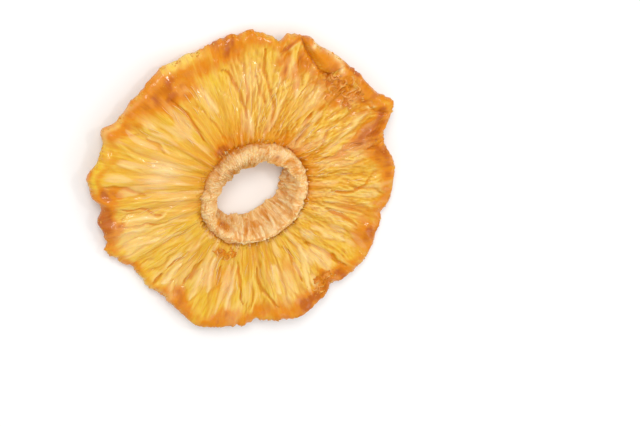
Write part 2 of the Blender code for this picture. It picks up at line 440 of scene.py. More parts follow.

# Creases that stand out: half width, depth, and points as angle and radius. Each is cut into the
# face, and its line is also darkened in colour as painted shade.
CREASES = (
    (0.5, 0.8, ((105, 30.2), (99.3, 26.7), (98, 24.5), (96.7, 22.5), (92.9, 20.7), (91.5, 18.1))),
    (0.4, 0.5, ((93.3, 27.6), (92.5, 24.1), (93.1, 21.6))),
    (0.4, 0.5, ((88.8, 28.6), (86.4, 28.2))),
    (0.45, 0.6, ((131.6, 28.9), (132.2, 25.2), (133.4, 20.9), (134, 16.5))),
    (0.35, 0.3, ((155.1, 32.8), (153.1, 30.5))),
    (0.4, 0.5, ((152.5, 27.6), (153.4, 25.2), (156.5, 22.3))),
    (0.5, 0.5, ((177.6, 35.6), (179.4, 29.7), (183.3, 26.1))),
    (0.4, 0.6, ((188.8, 30.9), (190.8, 26.4), (195.7, 23.6), (197.4, 22))),
    (0.35, 0.4, ((196.8, 32.5), (200.2, 28), (204.5, 22.6))),
    (0.35, 0.4, ((71.2, 35.6), (69.4, 33.4), (64.2, 28.9))),
    (0.6, 0.9, ((48.2, 35.8), (42.8, 36.7), (40.8, 37.9))), (0.5, 0.7, ((77.9, 36.7), (78, 34.2))),
    (0.45, 0.6, ((74, 22), (72.6, 18.7))), (0.45, 0.5, ((55.9, 17.6), (55.6, 15.4))),
    (0.45, 0.6, ((45.7, 25.6), (45.5, 22.6))), (0.4, 0.5, ((37.8, 24.7), (32.3, 20.9))),
    (0.7, 1.1, ((23.2, 30.2), (23.5, 27.4), (21.5, 26), (20.1, 23.6), (21.4, 20.4))),
    (0.6, 0.9, ((18.5, 36), (17.8, 32.4))), (0.5, 0.8, ((29.2, 38.7), (25.9, 35.8), (25.3, 32.8))),
    (0.6, 1, ((35.2, 36.4), (32.8, 37.3), (30.8, 38.4), (29.4, 39.8))),
    (0.45, 0.6, ((231.7, 23), (228.7, 27.7))), (0.5, 0.8, ((228.3, 29.8), (229.5, 33))),
    (0.5, 0.7, ((242.2, 21.7), (241.9, 24.1), (240.9, 27.6), (240.5, 29.8))),
    (0.45, 0.6, ((255.2, 21.9), (254.7, 25.5))),
    (0.45, 0.7, ((85.4, 35.1), (81.3, 27.7), (73.5, 20.1), (70.7, 15.9))),
    (0.45, 0.6, ((87.2, 27.3), (82.6, 23.5), (80.1, 21.5))),
    (0.55, 0.9, ((52.2, 24.8), (48.1, 20.7), (43.6, 16.7))),
    (0.4, 0.4, ((121.4, 19.7), (114.7, 13.9))), (0.5, 0.7, ((272, 31), (269, 26), (267, 19))),
    (0.5, 0.8, ((287, 33.5), (282, 28), (280, 21))), (0.45, 0.6, ((303, 29), (305.5, 19.5))),
    (0.6, 0.9, ((323, 34.5), (321, 29), (317, 22))), (0.5, 0.7, ((342, 31.5), (346.5, 21.5))),
    (0.5, 0.6, ((3, 33), (359, 28), (357, 22.5))),
)

# Pale welts that stand out: half width, height, and points as angle and radius. They are raised,
# and their cream is partly the strands' own paleness, partly painted sheen.
WELTS = (
    (0.9, 0.6, ((151.3, 27.5), (151.9, 25), (154.6, 21.9))),
    (0.9, 0.5, ((148.7, 27.8), (148.9, 20.4))), (1.3, 0.5, ((167.7, 24.9), (171.4, 20))),
    (1.2, 0.4, ((179.8, 24.3), (182.5, 19.7))),
    (1.1, 0.8, ((117.3, 27.5), (115, 24.4), (113.3, 20.4))), (1, 0.9, ((98.7, 26.1), (94, 22.1))),
    (0.8, 0.7, ((90.7, 28.3), (91.3, 24.1))), (0.8, 0.9, ((86.5, 29.9), (86.6, 24.3))),
    (0.9, 0.7, ((91.4, 20.1), (86, 12.9))), (0.8, 0.8, ((83.7, 26.5), (83.5, 19.3))),
    (0.7, 0.6, ((73.9, 28.2), (71.9, 25.1), (70.9, 20.4))),
    (0.8, 0.6, ((72, 33.5), (68, 29.3), (65.9, 25.8))),
    (1, 0.8, ((33.9, 34.4), (32.5, 30.3), (30.8, 27.2), (24.1, 22.5))),
    (0.9, 0.8, ((27.9, 30.2), (27, 23.9), (25.7, 20))), (0.9, 0.8, ((38.1, 25.3), (36.7, 20.5))),
    (0.8, 0.7, ((50.3, 23.4), (47.8, 19.5), (46.2, 16.9))),
    (0.8, 0.7, ((70.4, 22.6), (71.6, 18), (73, 15.7))), (0.8, 0.6, ((48.6, 27.1), (47.7, 22.9))),
    (1, 0.8, ((233.8, 24.9), (231.6, 31.1))), (1, 0.9, ((244.8, 23.6), (246, 31.5))),
    (0.9, 0.7, ((235.6, 29.1), (236.3, 32.2))),
    (0.9, 0.6, ((194, 30.8), (197.9, 25.1), (198.3, 21.1))),
    (1, 0.7, ((199.8, 31.5), (204.5, 26.6), (206.5, 22.3))),
    (0.9, 0.7, ((208.6, 32.3), (212.8, 25), (216, 20))),
    (0.9, 0.7, ((249.7, 20.4), (251.6, 28.1))), (0.9, 0.6, ((228.5, 21.7), (229.3, 17.6))),
    (1.1, 0.8, ((262, 31), (264, 25), (266, 20))), (1.2, 0.8, ((290, 30), (292, 21))),
    (1, 0.7, ((308, 29), (310, 24), (312, 20))), (1.2, 0.8, ((333, 31), (330, 20))),
)

# Patches: angle, depth in from the edge, half widths round and along the radius, strength.
# The first are amber.
AMBER = (
    (129.1, 7.6, 2.6, 1.8, 1.2), (122.5, 7.2, 2.2, 1.5, 1.05), (125.2, 9.3, 1.6, 1.3, 0.9),
    (131, 3.6, 5, 2.4, 0.7), (101.9, 3.7, 1.7, 2.4, 1.2), (98, 4.4, 1.3, 2.6, 0.9),
    (111.6, 4.7, 3.6, 2.4, 0.85), (143, 2.2, 5, 2.2, 0.75), (182, 3.2, 2.8, 2.7, 1.45),
    (184, 1.4, 2.2, 1.4, 0.95), (181, 7, 1.5, 3, 0.8), (194.7, 3.1, 2.2, 2.6, 1.15),
    (196, 5.6, 1.4, 1.8, 0.9), (200, 2.3, 2, 1.6, 0.8), (164, 1.6, 2.4, 1.6, 0.5),
    (89.5, 2.2, 3, 1.4, 0.55), (76.6, 1.2, 2.2, 1.1, 1.15), (76.4, 4, 1.6, 1.6, 0.85),
    (74.5, 7.6, 0.9, 3.2, 0.95), (69.7, 6.4, 0.8, 2.8, 0.95), (65.6, 6, 0.8, 2, 0.8),
    (61.5, 6.4, 1.6, 1, 0.8), (70, 9.6, 1.3, 2, 0.7), (67.4, 6, 1.3, 2.4, 0.9),
    (67.6, 12, 1, 2, 0.5), (48.5, 7, 5.2, 3.4, 0.92), (50.5, 2.8, 3, 1.8, 0.75),
    (51.5, 12, 1.2, 2, 0.7), (39.5, 4, 2.4, 2.4, 1.15), (35, 2.4, 2.8, 2.2, 1),
    (30.5, 4, 2.6, 1.9, 1.4), (26, 5.8, 3.2, 5, 1.4), (24, 2.4, 2.4, 1.8, 1),
    (18.6, 3.8, 2.8, 2.6, 0.95), (20, 12.6, 2.4, 3.4, 0.55), (22.5, 9, 1.6, 3, 0.75),
    # The patch at 125.5 degrees beside the collar paints the shade of the pocket there; the others
    # are the flesh's own orange.
    (8, 2.6, 4, 2.2, 0.6), (125.5, 25.4, 2.5, 1.4, 1.2), (112, 23, 3, 0.7, 0.55),
    (241.7, 3.4, 3, 2.4, 0.8), (252, 19.6, 3, 1.3, 0.7), (256, 12.5, 5, 5, 0.4),
    (262, 1.5, 4.5, 2.2, 0.8), (292, 2, 5, 2.2, 0.7), (318, 3, 3.5, 2.4, 0.95),
    (340, 2.4, 5, 2.2, 0.7), (300, 14, 2, 4, 0.45), (350, 10, 1.6, 4, 0.5),
)
# Clear yellow. The patch at 226 degrees paints the light that shines through the thin edge there.
CLEAR = (
    (124.5, 1, 4.4, 1.6, 1.15), (117.4, 1.2, 3.4, 1.5, 1.1), (175, 1.4, 4.6, 1.4, 1),
    (171, 1.2, 2, 1.2, 0.8), (153, 0.9, 3, 1, 0.6), (226, 0.8, 6, 1, 0.45),
    (207, 0.8, 2.6, 0.9, 0.6), (108.8, 8.9, 2.6, 4, 0.9), (99, 15, 1.8, 4, 0.6),
    (88, 6.5, 2, 3.2, 0.6), (85, 13, 3.5, 5, 0.35), (28, 12.6, 1.8, 4.6, 0.7),
    (33, 1.8, 2.4, 1.2, 0.8), (214, 6, 2.4, 3, 0.5), (232, 8, 2, 4, 0.5), (285, 9, 2.6, 4, 0.7),
    (330, 8, 2.2, 4, 0.6),
)
# Milky, the fan paler than elsewhere: partly the strands' own paleness, partly painted sheen.
MILKY_AND_SHEEN = (
    (170.5, 16.5, 5.5, 4.5, 0.95), (158, 11, 4, 3.5, 0.3), (188, 19, 4, 4.5, 0.5),
    (202, 9, 5, 6, 0.6), (236, 9, 4, 4.5, 0.35), (91, 12, 4.5, 4.5, 0.7), (117, 12, 1.6, 3.5, 0.7),
    (142.3, 14.8, 2, 1.6, 0.6), (62, 13, 4, 4, 0.25), (295, 11, 5, 5, 0.4), (345, 13, 4, 4, 0.3),
)
# Painted highlight: pale sheen and glints painted as cream on the glazed edge.
PAINTED_SHEEN = (
    (69.3, 1.9, 0.5, 1, 1), (62.2, 1.4, 1.3, 0.6, 0.8), (58.2, 1.5, 1.7, 0.9, 0.9),
    (54.8, 2.6, 1.5, 0.8, 0.85), (74.6, 2.2, 0.9, 0.4, 0.45), (35.4, 5.2, 0.35, 0.9, 0.9),
    (121, 1, 6, 1.2, 0.28), (226, 0.7, 7, 0.9, 0.35), (158, 0.7, 4, 0.8, 0.35),
    (147, 0.6, 4, 0.7, 0.3),
)
# Smooth, without strands.
SOFT = (
    (108.8, 8.9, 3, 4.6, 1), (138.5, 9.7, 4, 4.6, 0.9), (158.4, 12.6, 5.5, 4.6, 0.85),
    (172, 9, 5, 4.5, 0.8), (143, 16, 4, 3.5, 0.7), (165, 21, 5, 3, 0.6), (26.4, 12.2, 2, 4.6, 0.8),
    (88, 6, 2.2, 3.4, 0.7), (125, 18, 3, 4, 0.6), (218, 17, 4, 4, 0.5), (275, 12, 4, 4, 0.7),
    (335, 12, 4, 5, 0.7),
)
# Crusty ground.
CRUST = (
    (48, 6, 6, 3, 1), (56, 8.4, 4, 1.6, 0.7), (37, 7, 4, 3, 0.6), (20, 4, 4, 2.4, 0.5),
    (252, 20, 3.6, 1.4, 0.8), (310, 3.6, 5, 2.4, 0.7),
)

# Where the skin's edge departs from the solid's: the notch beside the flap is a mere step, and
# some lobes are drawn in.
EDGE_TRIM = (
    (66.5, 2.5, -0.5), (75.3, 1.2, 1), (77.7, 1.25, 2.4), (82, 1.5, -0.35), (85.5, 3.5, -0.7),
    (121.5, 4, -0.45), (149, 4, -0.65), (171, 3, -0.7), (180, 3, -0.75), (204, 3.5, -0.65),
)
# Middles of the calm left side, of the crinkled right side and of the warmer side.
LEFT_SIDE = 185.0
RIGHT_SIDE = 38.0
WARMER_SIDE = 50.0
DRAWN_IN = 0.3  # how far inside the solid's edge the skin's lies on the whole
ROLLED = ((76.9, 1.3, 1.7, 1.2, 0.8),)  # the rolled tip beside the notch
EDGE_NICKS = ((58, 0.26), (131, 0.34), (250, 0.32), (520, 0.18))  # cells round and depth
STRAND_MEAN = 0.62  # of the relief, taken off so that it lies about the solid's face
# How marked lines and patches wander: cells round, cells along and reach.
WANDER = ((26, 4, 0.7), (70, 9, 0.45), (150, 18, 0.2))

# Grid of the flesh: steps round the ring, and stations on top and on the foot.
FLESH_STEPS = 1400
TOP_STATIONS = 50
FOOT_STATIONS = 18
TUCK = 0.4  # how far the flesh reaches into the collar, as a share of its wall
TOP_SHARES = np.linspace(0.0, 1.0, TOP_STATIONS)
TOP_SHARES = 0.5 * TOP_SHARES + 0.5 * (1.0 - np.cos(TOP_SHARES * math.pi / 2.0))
TOP_OF_FLESH = {}  # kept from the flesh for what lies on it


def round_ring(angle, table, column):
    """A value of the table at each angle, passing smoothly from row to row."""
    angles = [row[0] for row in table]
    values = [row[column] for row in table]
    return np.interp(angle % 360.0, angles, values, period=360.0)


def flap_share(angle):
    """1 along the folded flap, falling to 0 at its two ends."""
    start, start_fade = FLAP_START
    end, end_fade = FLAP_END
    return smooth((angle - start) / start_fade) * smooth((end - angle) / end_fade)


def nicked_edge(shape, angle):
    """The outer edge with its small bites and tufts."""
    level = np.zeros_like(angle)
    nicks = np.zeros_like(angle)
    for number, (cells, depth) in enumerate(EDGE_NICKS):
        nicks += depth * patchy(angle, level, cells, 1, 20 + number)
    calm = 0.4 + 0.6 * smooth(0.5 + 0.9 * patchy(angle, level, 17, 1, 24))
    calm *= 1.0 - 0.85 * flap_share(angle) - 0.6 * hill(around(angle, 43.0), 8.0)
    edge = edge_radius(shape, angle) + lobes(angle, EDGE_TRIM)
    return edge - DRAWN_IN + nicks * calm * shape.ragged_edge / (0.5 * MM)


# Spread of the loose strands: shift along the radius, share of the row's length, width and
# height, and lean. Those that lie below are calmer.
TOP_STRANDS = (2.2, (0.6, 1.5), (0.45, 1.4), (0.5, 1.25), 10.0)
FOOT_STRANDS = (2.5, (0.8, 1.6), (0.7, 1.4), (0.5, 1.0), 7.0)


def loose_strands(seed, spreads, on_top):
    """Loose strands in rows with random places. Those on top are turned and bowed as well."""
    aside, long, wide, tall, lean = spreads
    draw = np.random.default_rng(seed)
    strands = []
    for out, count, half_length, half_width, high in STRAND_ROWS:
        shift = draw.uniform(0.0, 360.0) if on_top else 0.0
        for number in range(count):
            strand = (
                (shift + (number + draw.uniform(-0.5, 0.5)) * 360.0 / count) % 360.0,
                out + draw.uniform(-aside, aside),
                half_length * draw.uniform(*long),
                half_width * draw.uniform(*wide),
                high * draw.uniform(*tall),
                draw.normal(0.0, lean),
                draw.normal(0.0, 0.02) if on_top else 0.0,
                draw.uniform(0.0, 1.0),
            )
            strands.append(strand)
    return strands


def fan_of_bundles(angle, share, seed, fine=1.0):
    """Relief of the layered bundles and their tone. fine is the share of the narrowest."""
    relief = np.zeros_like(angle)
    tone = np.zeros_like(angle)
    for number, (count, high, wander, valley) in enumerate(BUNDLES):
        bend = wander * patchy(angle, share, count // 2, 3, seed + 10 * number)
        bend += 0.4 * wander * patchy(angle, share, count, 7, seed + 10 * number + 1)
        dome, own = side_by_side(angle / 360.0 * count + bend, count, seed + number)
        strength = 0.65 + 0.55 * patchy(angle, share, count, 4, seed + 10 * number + 2)
        own_share = fine if number == 2 else 1.0
        relief += own_share * high * strength * np.clip(dome / valley, 0.0, 1.0) ** 0.6
        tone += own * (0.5, 0.3, 0.2)[number]
    return relief, tone


def top_of_flesh(shape, angle, edge):
    """The upper face, from the edge in to the collar: radius, height and tints."""
    collar = oval_radius(angle, COLLAR_TOP)
    radius = edge[:, None] + (collar - edge)[:, None] * TOP_SHARES[None, :]
    share = np.broadcast_to(TOP_SHARES[None, :], radius.shape)
    column = np.broadcast_to(angle[:, None], radius.shape)
    turned = np.radians(column)
    from_edge = edge[:, None] - radius
    to_collar = radius - collar[:, None]

    def noise(cells_round, cells_along, seed):
        return patchy(column, share, cells_round, cells_along, seed)

    # Marked lines and patches wander a little from their places.
    bent_angle = column.copy()
    bent_radius = radius.copy()
    for number, (cells_round, cells_along, reach) in enumerate(WANDER):
        bent_angle += reach * 2.2 * noise(cells_round, cells_along, 81 + number)
        bent_radius += reach * 1.3 * noise(cells_round, cells_along, 91 + number)
    bent_x = bent_radius * np.cos(np.radians(bent_angle))
    bent_y = bent_radius * np.sin(np.radians(bent_angle))
    bent_depth = edge_radius(shape, column) - bent_radius

    def spread(spots):
        return patches(bent_angle, bent_radius, bent_depth, spots)

    band = round_ring(angle, RIM_BAND, 1)[:, None] * (
        1.0 + 0.35 * noise(46, 3, 54) + 0.25 * noise(110, 6, 55)
    )
    fan = smooth((from_edge - 0.35 * band) / (0.8 * band))
    left_side = 0.5 + 0.5 * np.cos(turned - math.radians(LEFT_SIDE))
    right_side = smooth(0.2 + 0.9 * np.cos(turned - math.radians(RIGHT_SIDE)))
    near_collar = smooth(to_collar / (3.5 + 5.0 * left_side))
    near_collar = 0.3 - 0.15 * left_side + (0.7 + 0.15 * left_side) * near_collar
    near_collar *= smooth(to_collar / 0.9)

    # The flap: a smooth lip with a step on its inner side.
    inner = round_ring(angle, FLAP_INNER, 1)[:, None] + 0.4 * noise(72, 3, 56)
    inner = inner + 0.16 * noise(230, 6, 155)
    over = radius - inner
    lip = flap_share(angle)[:, None]
    step = lip * smooth((over + 0.1) / 0.7)
    rise = over / (edge[:, None] - inner).clip(0.8)
    dome = np.clip(1.0 - ((rise - 0.25) / 0.9) ** 2, 0.0, 1.0)
    dome *= 0.34 + 0.66 * smooth((column - 54.0) / 6.0)
    dome *= 1.0 + 0.3 * noise(60, 6, 156)
    crown = lip * smooth((over + 0.1) / 1.7)
    flap_lift = 0.45 * step + shape.flap_height / MM * crown * dome
    flap_crevice = lip * hill(over + 0.4, 0.42) * smooth((angle - 55.0) / 3.0)[:, None]
    rolled = spread(ROLLED) * (0.8 + 0.5 * noise(150, 14, 85))

    soft = spread(SOFT)
    soft = np.maximum(soft, 0.8 * smooth((noise(14, 3, 57) - 0.2) / 0.4))
    fine = smooth(0.45 + 0.9 * noise(34, 5, 70))
    flow = column.copy()
    for number, (cells_round, cells_along, drift) in enumerate(FLOWS):
        flow += drift * noise(cells_round, cells_along, 140 + number)
    bundle, bundle_tone = fan_of_bundles(flow, share, shape.seed + 100, fine)
    strand, strand_tone = lay_strands(loose_strands(shape.seed, TOP_STRANDS, True), flow, radius)
    welt, welt_high = marked(bent_x, bent_y, WELTS)
    crease_shade, cut = marked(bent_x, bent_y, CREASES)
    fibres = 0.05 * noise(330, 9, 31) + 0.035 * noise(520, 14, 32) + 0.05 * noise(150, 16, 33)
    crust = spread(CRUST) * (1.0 - 0.9 * step)
    x = radius * np.cos(turned)
    y = radius * np.sin(turned)
    lump, lump_tone = crumbs(x / 1.3, y / 1.3, 45)
    grit, _ = crumbs(x / 0.62, y / 0.62, 46)
    high = shape.strand_height / (0.7 * MM)
    fan_height = high * fan * near_collar * (1.0 - 0.8 * soft) * (1.0 - 0.6 * crust)
    crinkled = right_side * hill(to_collar - 4.0, 4.0)
    fan_height *= (1.0 - step) * (1.0 - 0.3 * left_side) * (1.0 - 0.35 * crinkled)
    relief = highest(bundle, 0.45 * bundle + strand, 0.3 * bundle + 1.15 * welt_high)
    relief = (relief - STRAND_MEAN) * fan_height
    relief += 0.34 * noise(22, 3, 58) + 0.18 * noise(60, 6, 59)
    crinkle = 0.2 * patchy(flow, share, 250, 24, 151) + 0.12 * patchy(flow, share, 400, 40, 152)
    relief += crinkle * fan * right_side * (1.0 - step) * smooth(to_collar / 3.0)
    relief += 0.45 * (lump - 0.6) * crinkled
    relief += fibres * (0.35 + 0.65 * fan) * (1.0 - 0.5 * soft)
    relief += crust * (0.55 * lump + 0.25 * grit - 0.35)
    bumps = 0.16 * noise(120, 12, 71) + 0.1 * noise(230, 26, 72)
    relief += bumps * (1.0 - fan) * (1.0 - 0.7 * step)
    relief += 0.22 * (grit - 0.5) * smooth(1.0 - to_collar / 1.8)
    crease_shade = crease_shade * (0.6 + 0.45 * noise(120, 12, 60))
    cut = 0.82 * cut * (1.0 - 0.8 * step)

    middle, thick = flesh(shape, column, share)
    solid_ridges = ridges(column, share, TOP_RIDGES) * (1.0 - step)
    height = thick + solid_ridges + flap_lift + rolled - 1.1 * flap_crevice
    height += relief - cut * smooth(from_edge / 2.0)
    height = middle + height * rounding(from_edge)
    groove_deep, groove_wide, groove_shade = (
        round_ring(angle, GROOVE, number)[:, None] for number in (1, 2, 3)
    )
    groove_wide = groove_wide * (1.0 + 0.4 * patchy(column, 0.0 * share, 46, 1, 61))
    tufts = 0.3 * patchy(column, 0.0 * share, 170, 1, 67) + 0.2 * noise(330, 1, 68)
    off_groove = to_collar - GROOVE_OUT - tufts
    groove_deep = groove_deep * (0.85 + 0.35 * noise(90, 2, 62))
    groove_shade = groove_shade * (0.9 + 0.5 * patchy(column, 0.0 * share, 52, 1, 88))
    height -= shape.groove_depth / MM * hill(off_groove, groove_wide) * groove_deep

    # Tints. crest is the relief less its local mean, and the material turns it into painted shade
    # in the hollows, the cuts and the flap's crevice and painted highlight on the crests.
    sharp = relief - cut - 0.8 * flap_crevice
    crest = 0.5 + 0.5 * (sharp - blur_round(sharp, 12)) / 0.3
    crest = np.clip(crest + 0.3 * (sharp - blur_round(sharp, 4)) / 0.1, 0.0, 1.0)
    crest = 0.5 + (crest - 0.5) * (1.0 - 0.3 * left_side)
    # Painted shade: the marked creases darken the crest tint.
    crest *= (1.0 - 0.75 * crease_shade) * (1.0 - 0.1 * right_side)
    streak = noise(210, 4, 63)
    blotch = noise(30, 4, 64)
    mottle = noise(70, 9, 65)
    rim = (1.0 - fan) * round_ring(angle, RIM_BAND, 2)[:, None]
    speckle = noise(150, 16, 69)
    rim *= 0.88 + 0.35 * mottle + 0.15 * streak + 0.25 * speckle
    spots = spread(AMBER) * (1.0 + 0.2 * streak + 0.2 * mottle + 0.15 * speckle)
    amber = 0.2 + 0.2 * blotch + 0.12 * streak - 0.22 * bundle_tone
    amber += 0.3 * hill(to_collar, 6.0) * smooth(0.5 + 0.8 * np.cos(turned - 1.3))
    # Painted shade: the creases, the flap's crevice and the groove round the collar are made
    # amber; the other terms are the flesh's own orange.
    amber = highest(
        amber, rim, spots, 0.75 * crease_shade, 1.1 * flap_crevice,
        0.95 * groove_shade * hill(off_groove, 0.85 * groove_wide),
        (0.66 + 0.2 * lump_tone) * crust, step * (0.64 + 0.4 * mottle - 0.05 * rise),
    )
    clear = spread(CLEAR)
    # Painted highlight: the sheen spots take amber out of the flesh and lay cream over it.
    painted_sheen = spread(PAINTED_SHEEN)
    amber = np.clip(amber * (1.0 - 0.9 * clear) * (1.0 - 0.7 * painted_sheen), 0.0, 1.1) / 1.1
    # cream: partly the strands' own milky paleness, partly painted sheen on the welts and strands.
    cream = highest(
        welt * (0.6 + 0.5 * streak), spread(MILKY_AND_SHEEN) * (0.8 + 0.5 * streak),
        smooth((strand_tone - 0.72) / 0.2) * smooth(strand / 0.5) * 0.5,
        0.5 * smooth((noise(90, 4, 66) - 0.3) / 0.4) * fan,
    )
    cream = cream * (1.0 - 0.7 * amber) * (1.0 - 0.7 * clear) * (1.0 - 0.25 * right_side)
    # Painted highlight: the sheen spots laid over as cream.
    cream = np.clip(np.maximum(cream, 0.9 * painted_sheen), 0.0, 1.0)
    tone = 0.45 + 0.35 * (bundle_tone - 0.5) + 0.35 * blotch + 0.2 * streak
    tone -= 0.2 * smooth(0.5 + 0.7 * np.cos(turned - math.radians(WARMER_SIDE)))
    tone = np.clip(np.maximum(tone, clear), 0.0, 1.0)
    return radius, height, np.stack([crest, amber, cream, tone], axis=2)


def foot_of_flesh(shape, angle, edge):
    """The lower face, from the collar back to the edge: radius, height and tints."""
    foot = oval_radius(angle, COLLAR_FOOT)
    shares = np.linspace(1.0, 0.0, FOOT_STATIONS + 1)[:-1]
    radius = edge[:, None] + (foot - edge)[:, None] * shares[None, :]
    share = np.broadcast_to(shares[None, :], radius.shape)
    column = np.broadcast_to(angle[:, None], radius.shape)
    from_edge = edge[:, None] - radius

    def noise(cells_round, cells_along, seed):
        return patchy(column, share, cells_round, cells_along, seed)

    fan = smooth((from_edge - 1.5) / 4.0) * smooth((radius - foot[:, None]) / 1.5)
    bundle, bundle_tone = fan_of_bundles(column, share, shape.seed + 200)
    strand, strand_tone = lay_strands(
        loose_strands(shape.seed + 5, FOOT_STRANDS, False), column, radius
    )
    relief = (np.maximum(bundle, 0.45 * bundle + strand) - STRAND_MEAN) * 0.75 * fan
    relief += 0.15 * noise(24, 3, 67) + 0.05 * noise(300, 10, 68)
    middle, thick = flesh(shape, column, share)
    depth = thick - ridges(column, share, FOOT_RIDGES) + relief
    height = middle - depth * rounding(from_edge)
    height += GROOVE_DEPTH_FOOT * hill(radius - foot[:, None], 0.9)
    # Tints. crest becomes painted shade in the hollows and painted highlight on the crests.
    crest = np.clip(0.5 + 0.5 * (relief - blur_round(relief, 12)) / 0.25, 0.0, 1.0)
    blotch = noise(30, 4, 69)
    amber = (1.0 - smooth(from_edge / 6.0)) * round_ring(angle, RIM_BAND, 2)[:, None]
    # Painted shade: the groove below, at the collar's foot, is made amber.
    groove = 0.8 * hill(radius - foot[:, None], 0.8)
    amber = highest(amber, 0.25 + 0.25 * blotch - 0.2 * bundle_tone, groove)
    amber = np.clip(amber, 0.0, 1.2) / 1.2
    cream = np.clip(smooth((strand_tone - 0.6) / 0.3) * smooth(strand / 0.5) * 0.6, 0.0, 1.0)
    tone = np.clip(0.4 + 0.4 * (bundle_tone - 0.5) + 0.3 * blotch, 0.0, 1.0)
    return radius, height, np.stack([crest, amber, cream, tone], axis=2)


def flesh_piece(shape):
    """The slice of flesh, from inside the collar over the top to the edge and back below."""
    angle = np.arange(FLESH_STEPS) * 360.0 / FLESH_STEPS
    edge = nicked_edge(shape, angle)
    top_radius, top, top_tints = top_of_flesh(shape, angle, edge)
    foot_radius, foot, foot_tints = foot_of_flesh(shape, angle, edge)
    TOP_OF_FLESH.update(radius=top_radius, height=top)

    # Inside the collar's wall, out of sight.
    outside = 0.5 * (top_radius[:, -1] + foot_radius[:, 0])
    hole = 0.5 * (oval_radius(angle, HOLE_TOP) + oval_radius(angle, HOLE_FOOT))
    tuck_radius = np.repeat((outside - TUCK * (outside - hole))[:, None], 2, axis=1)
    tuck = np.stack([top[:, -1] - 0.2, foot[:, 0] + 0.2], axis=1)
    tuck_tints = np.full((FLESH_STEPS, 2, 4), 0.3)

    radius = np.concatenate([top_radius, tuck_radius, foot_radius], axis=1)
    points = placed(shape, angle[:, None], radius, np.concatenate([top, tuck, foot], axis=1))
    tints = np.concatenate([top_tints, tuck_tints, foot_tints], axis=1)
    return closed_grid("dried_flesh", points, tints)


def height_on_flesh(angle, radius):
    """Height of the finished upper face at each angle and radius."""
    heights = TOP_OF_FLESH["height"]
    radii = TOP_OF_FLESH["radius"]
    row = np.round(angle % 360.0 / 360.0 * FLESH_STEPS).astype(int) % FLESH_STEPS
    share = (radii[row, 0] - radius) / (radii[row, 0] - radii[row, -1])
    station = np.interp(share, TOP_SHARES, np.arange(TOP_STATIONS))
    low = np.clip(np.floor(station).astype(int), 0, TOP_STATIONS - 2)
    part = station - low
    return heights[row, low] * (1.0 - part) + heights[row, low + 1] * part


# Collar: steps round, and sub-steps between the knots of its section.
COLLAR_STEPS = 760
COLLAR_SUBSTEPS = 8
COLLAR_ROUND = 72.0  # length round the collar's middle
# Strands of the collar: knot of the section, count, half length in knots, half width, height.
COLLAR_ROWS = (
    (2.6, 50, 1.2, 0.6, 0.24), (5.2, 56, 1.3, 0.5, 0.22), (7, 48, 1.7, 0.62, 0.42),
    (8.6, 48, 1.9, 0.65, 0.42), (10.4, 50, 1.5, 0.5, 0.34),
)
# Amber spots: angle, knot, half width in degrees and in knots, strength.
COLLAR_AMBER = (
    (140, 4.6, 6, 0.9, 0.65), (168, 5.2, 8, 0.6, 0.4), (96, 5.4, 14, 0.4, 0.4),
    (78, 3.6, 5, 0.7, 0.5), (136, 5, 8, 1.2, 0.8), (128, 3.2, 8, 0.8, 0.5), (238, 6.6, 10, 1.6, 1),
    (262, 5, 7, 0.8, 0.4), (52, 4.2, 6, 1, 0.85), (70, 3.6, 5, 0.8, 0.6), (36, 4, 8, 1, 0.6),
    (150, 5.8, 10, 0.7, 0.4), (200, 5.3, 9, 1, 0.5), (24, 4.4, 7, 0.9, 0.45),
    (255, 9, 7, 0.8, 0.4), (248, 2.9, 24, 0.7, 0.32), (302, 2.9, 20, 0.6, 0.26),
    (280, 6.6, 5, 0.8, 0.4),
)
COLLAR_UNEVEN = ((26, 0.3), (64, 0.22), (140, 0.1))  # cells round and reach, for its outer side
PITS_AT = (112.0, 46.0)  # angle and half width of the pitted stretch of the crest


def hole_top(angle):
    return oval_radius(angle, HOLE_TOP) + waves(angle, HOLE_RAGGED)


def hole_foot(angle):
    return oval_radius(angle, HOLE_FOOT) - waves(angle, HOLE_RAGGED)


def crest_height(shape, angle):
    return COLLAR_CLEARANCE + shape.collar_height / MM + waves(angle, COLLAR_WAVES)


def collar_knots(shape, angle):
    """The collar's section at each angle, from inside the flesh over the crest, down the hole
    and back below."""
    collar = oval_radius(angle, COLLAR_TOP)
    foot = oval_radius(angle, COLLAR_FOOT)
    above = hole_top(angle)
    below = hole_foot(angle)
    crest = crest_height(shape, angle)
    level = np.zeros_like(angle)
    base = COLLAR_CLEARANCE + level
    uneven = sum(reach * patchy(angle, level, cells, 1, 86) for cells, reach in COLLAR_UNEVEN)
    wall = []
    for share in (0.0, 0.25, 0.5, 0.75, 1.0):
        height = (crest - 1.0) * (1.0 - share) + (base + 1.0) * share
        wall.append((above * (1.0 - share) + below * share, height))
    return [
        (0.5 * (collar + foot) - 0.4, FLESH_HEIGHT + level),
        (collar - 0.1, crest - 3.6),
        (collar - 0.45 + uneven, crest - 1.5),
        (collar - 1.05 + 0.8 * uneven, crest - 0.4),
        (0.5 * (collar + above), crest),
        (above + 0.7, crest - 0.3),
        *wall,
        (below + 0.7, base + 0.25),
        (0.5 * (foot + below), base),
        (foot - 1.0, base + 0.35),
        (foot - 0.45, base + 1.3),
        (foot - 0.1, base + 2.4),
    ]


def through_knots(knots, substeps):
    """A smooth closed section through the knots, by Catmull-Rom."""
    both = np.stack([np.stack(knot, axis=1) for knot in knots], axis=1)
    before, after, beyond = (np.roll(both, shift, axis=1) for shift in (1, -1, -2))
    square = 2.0 * before - 5.0 * both + 4.0 * after - beyond
    cube = 3.0 * both - before - 3.0 * after + beyond
    rows = []
    for t in np.arange(substeps) / substeps:
        rows.append(0.5 * (2.0 * both + (after - before) * t + square * t**2 + cube * t**3))
    return np.stack(rows, axis=2).reshape(both.shape[0], -1, 2)


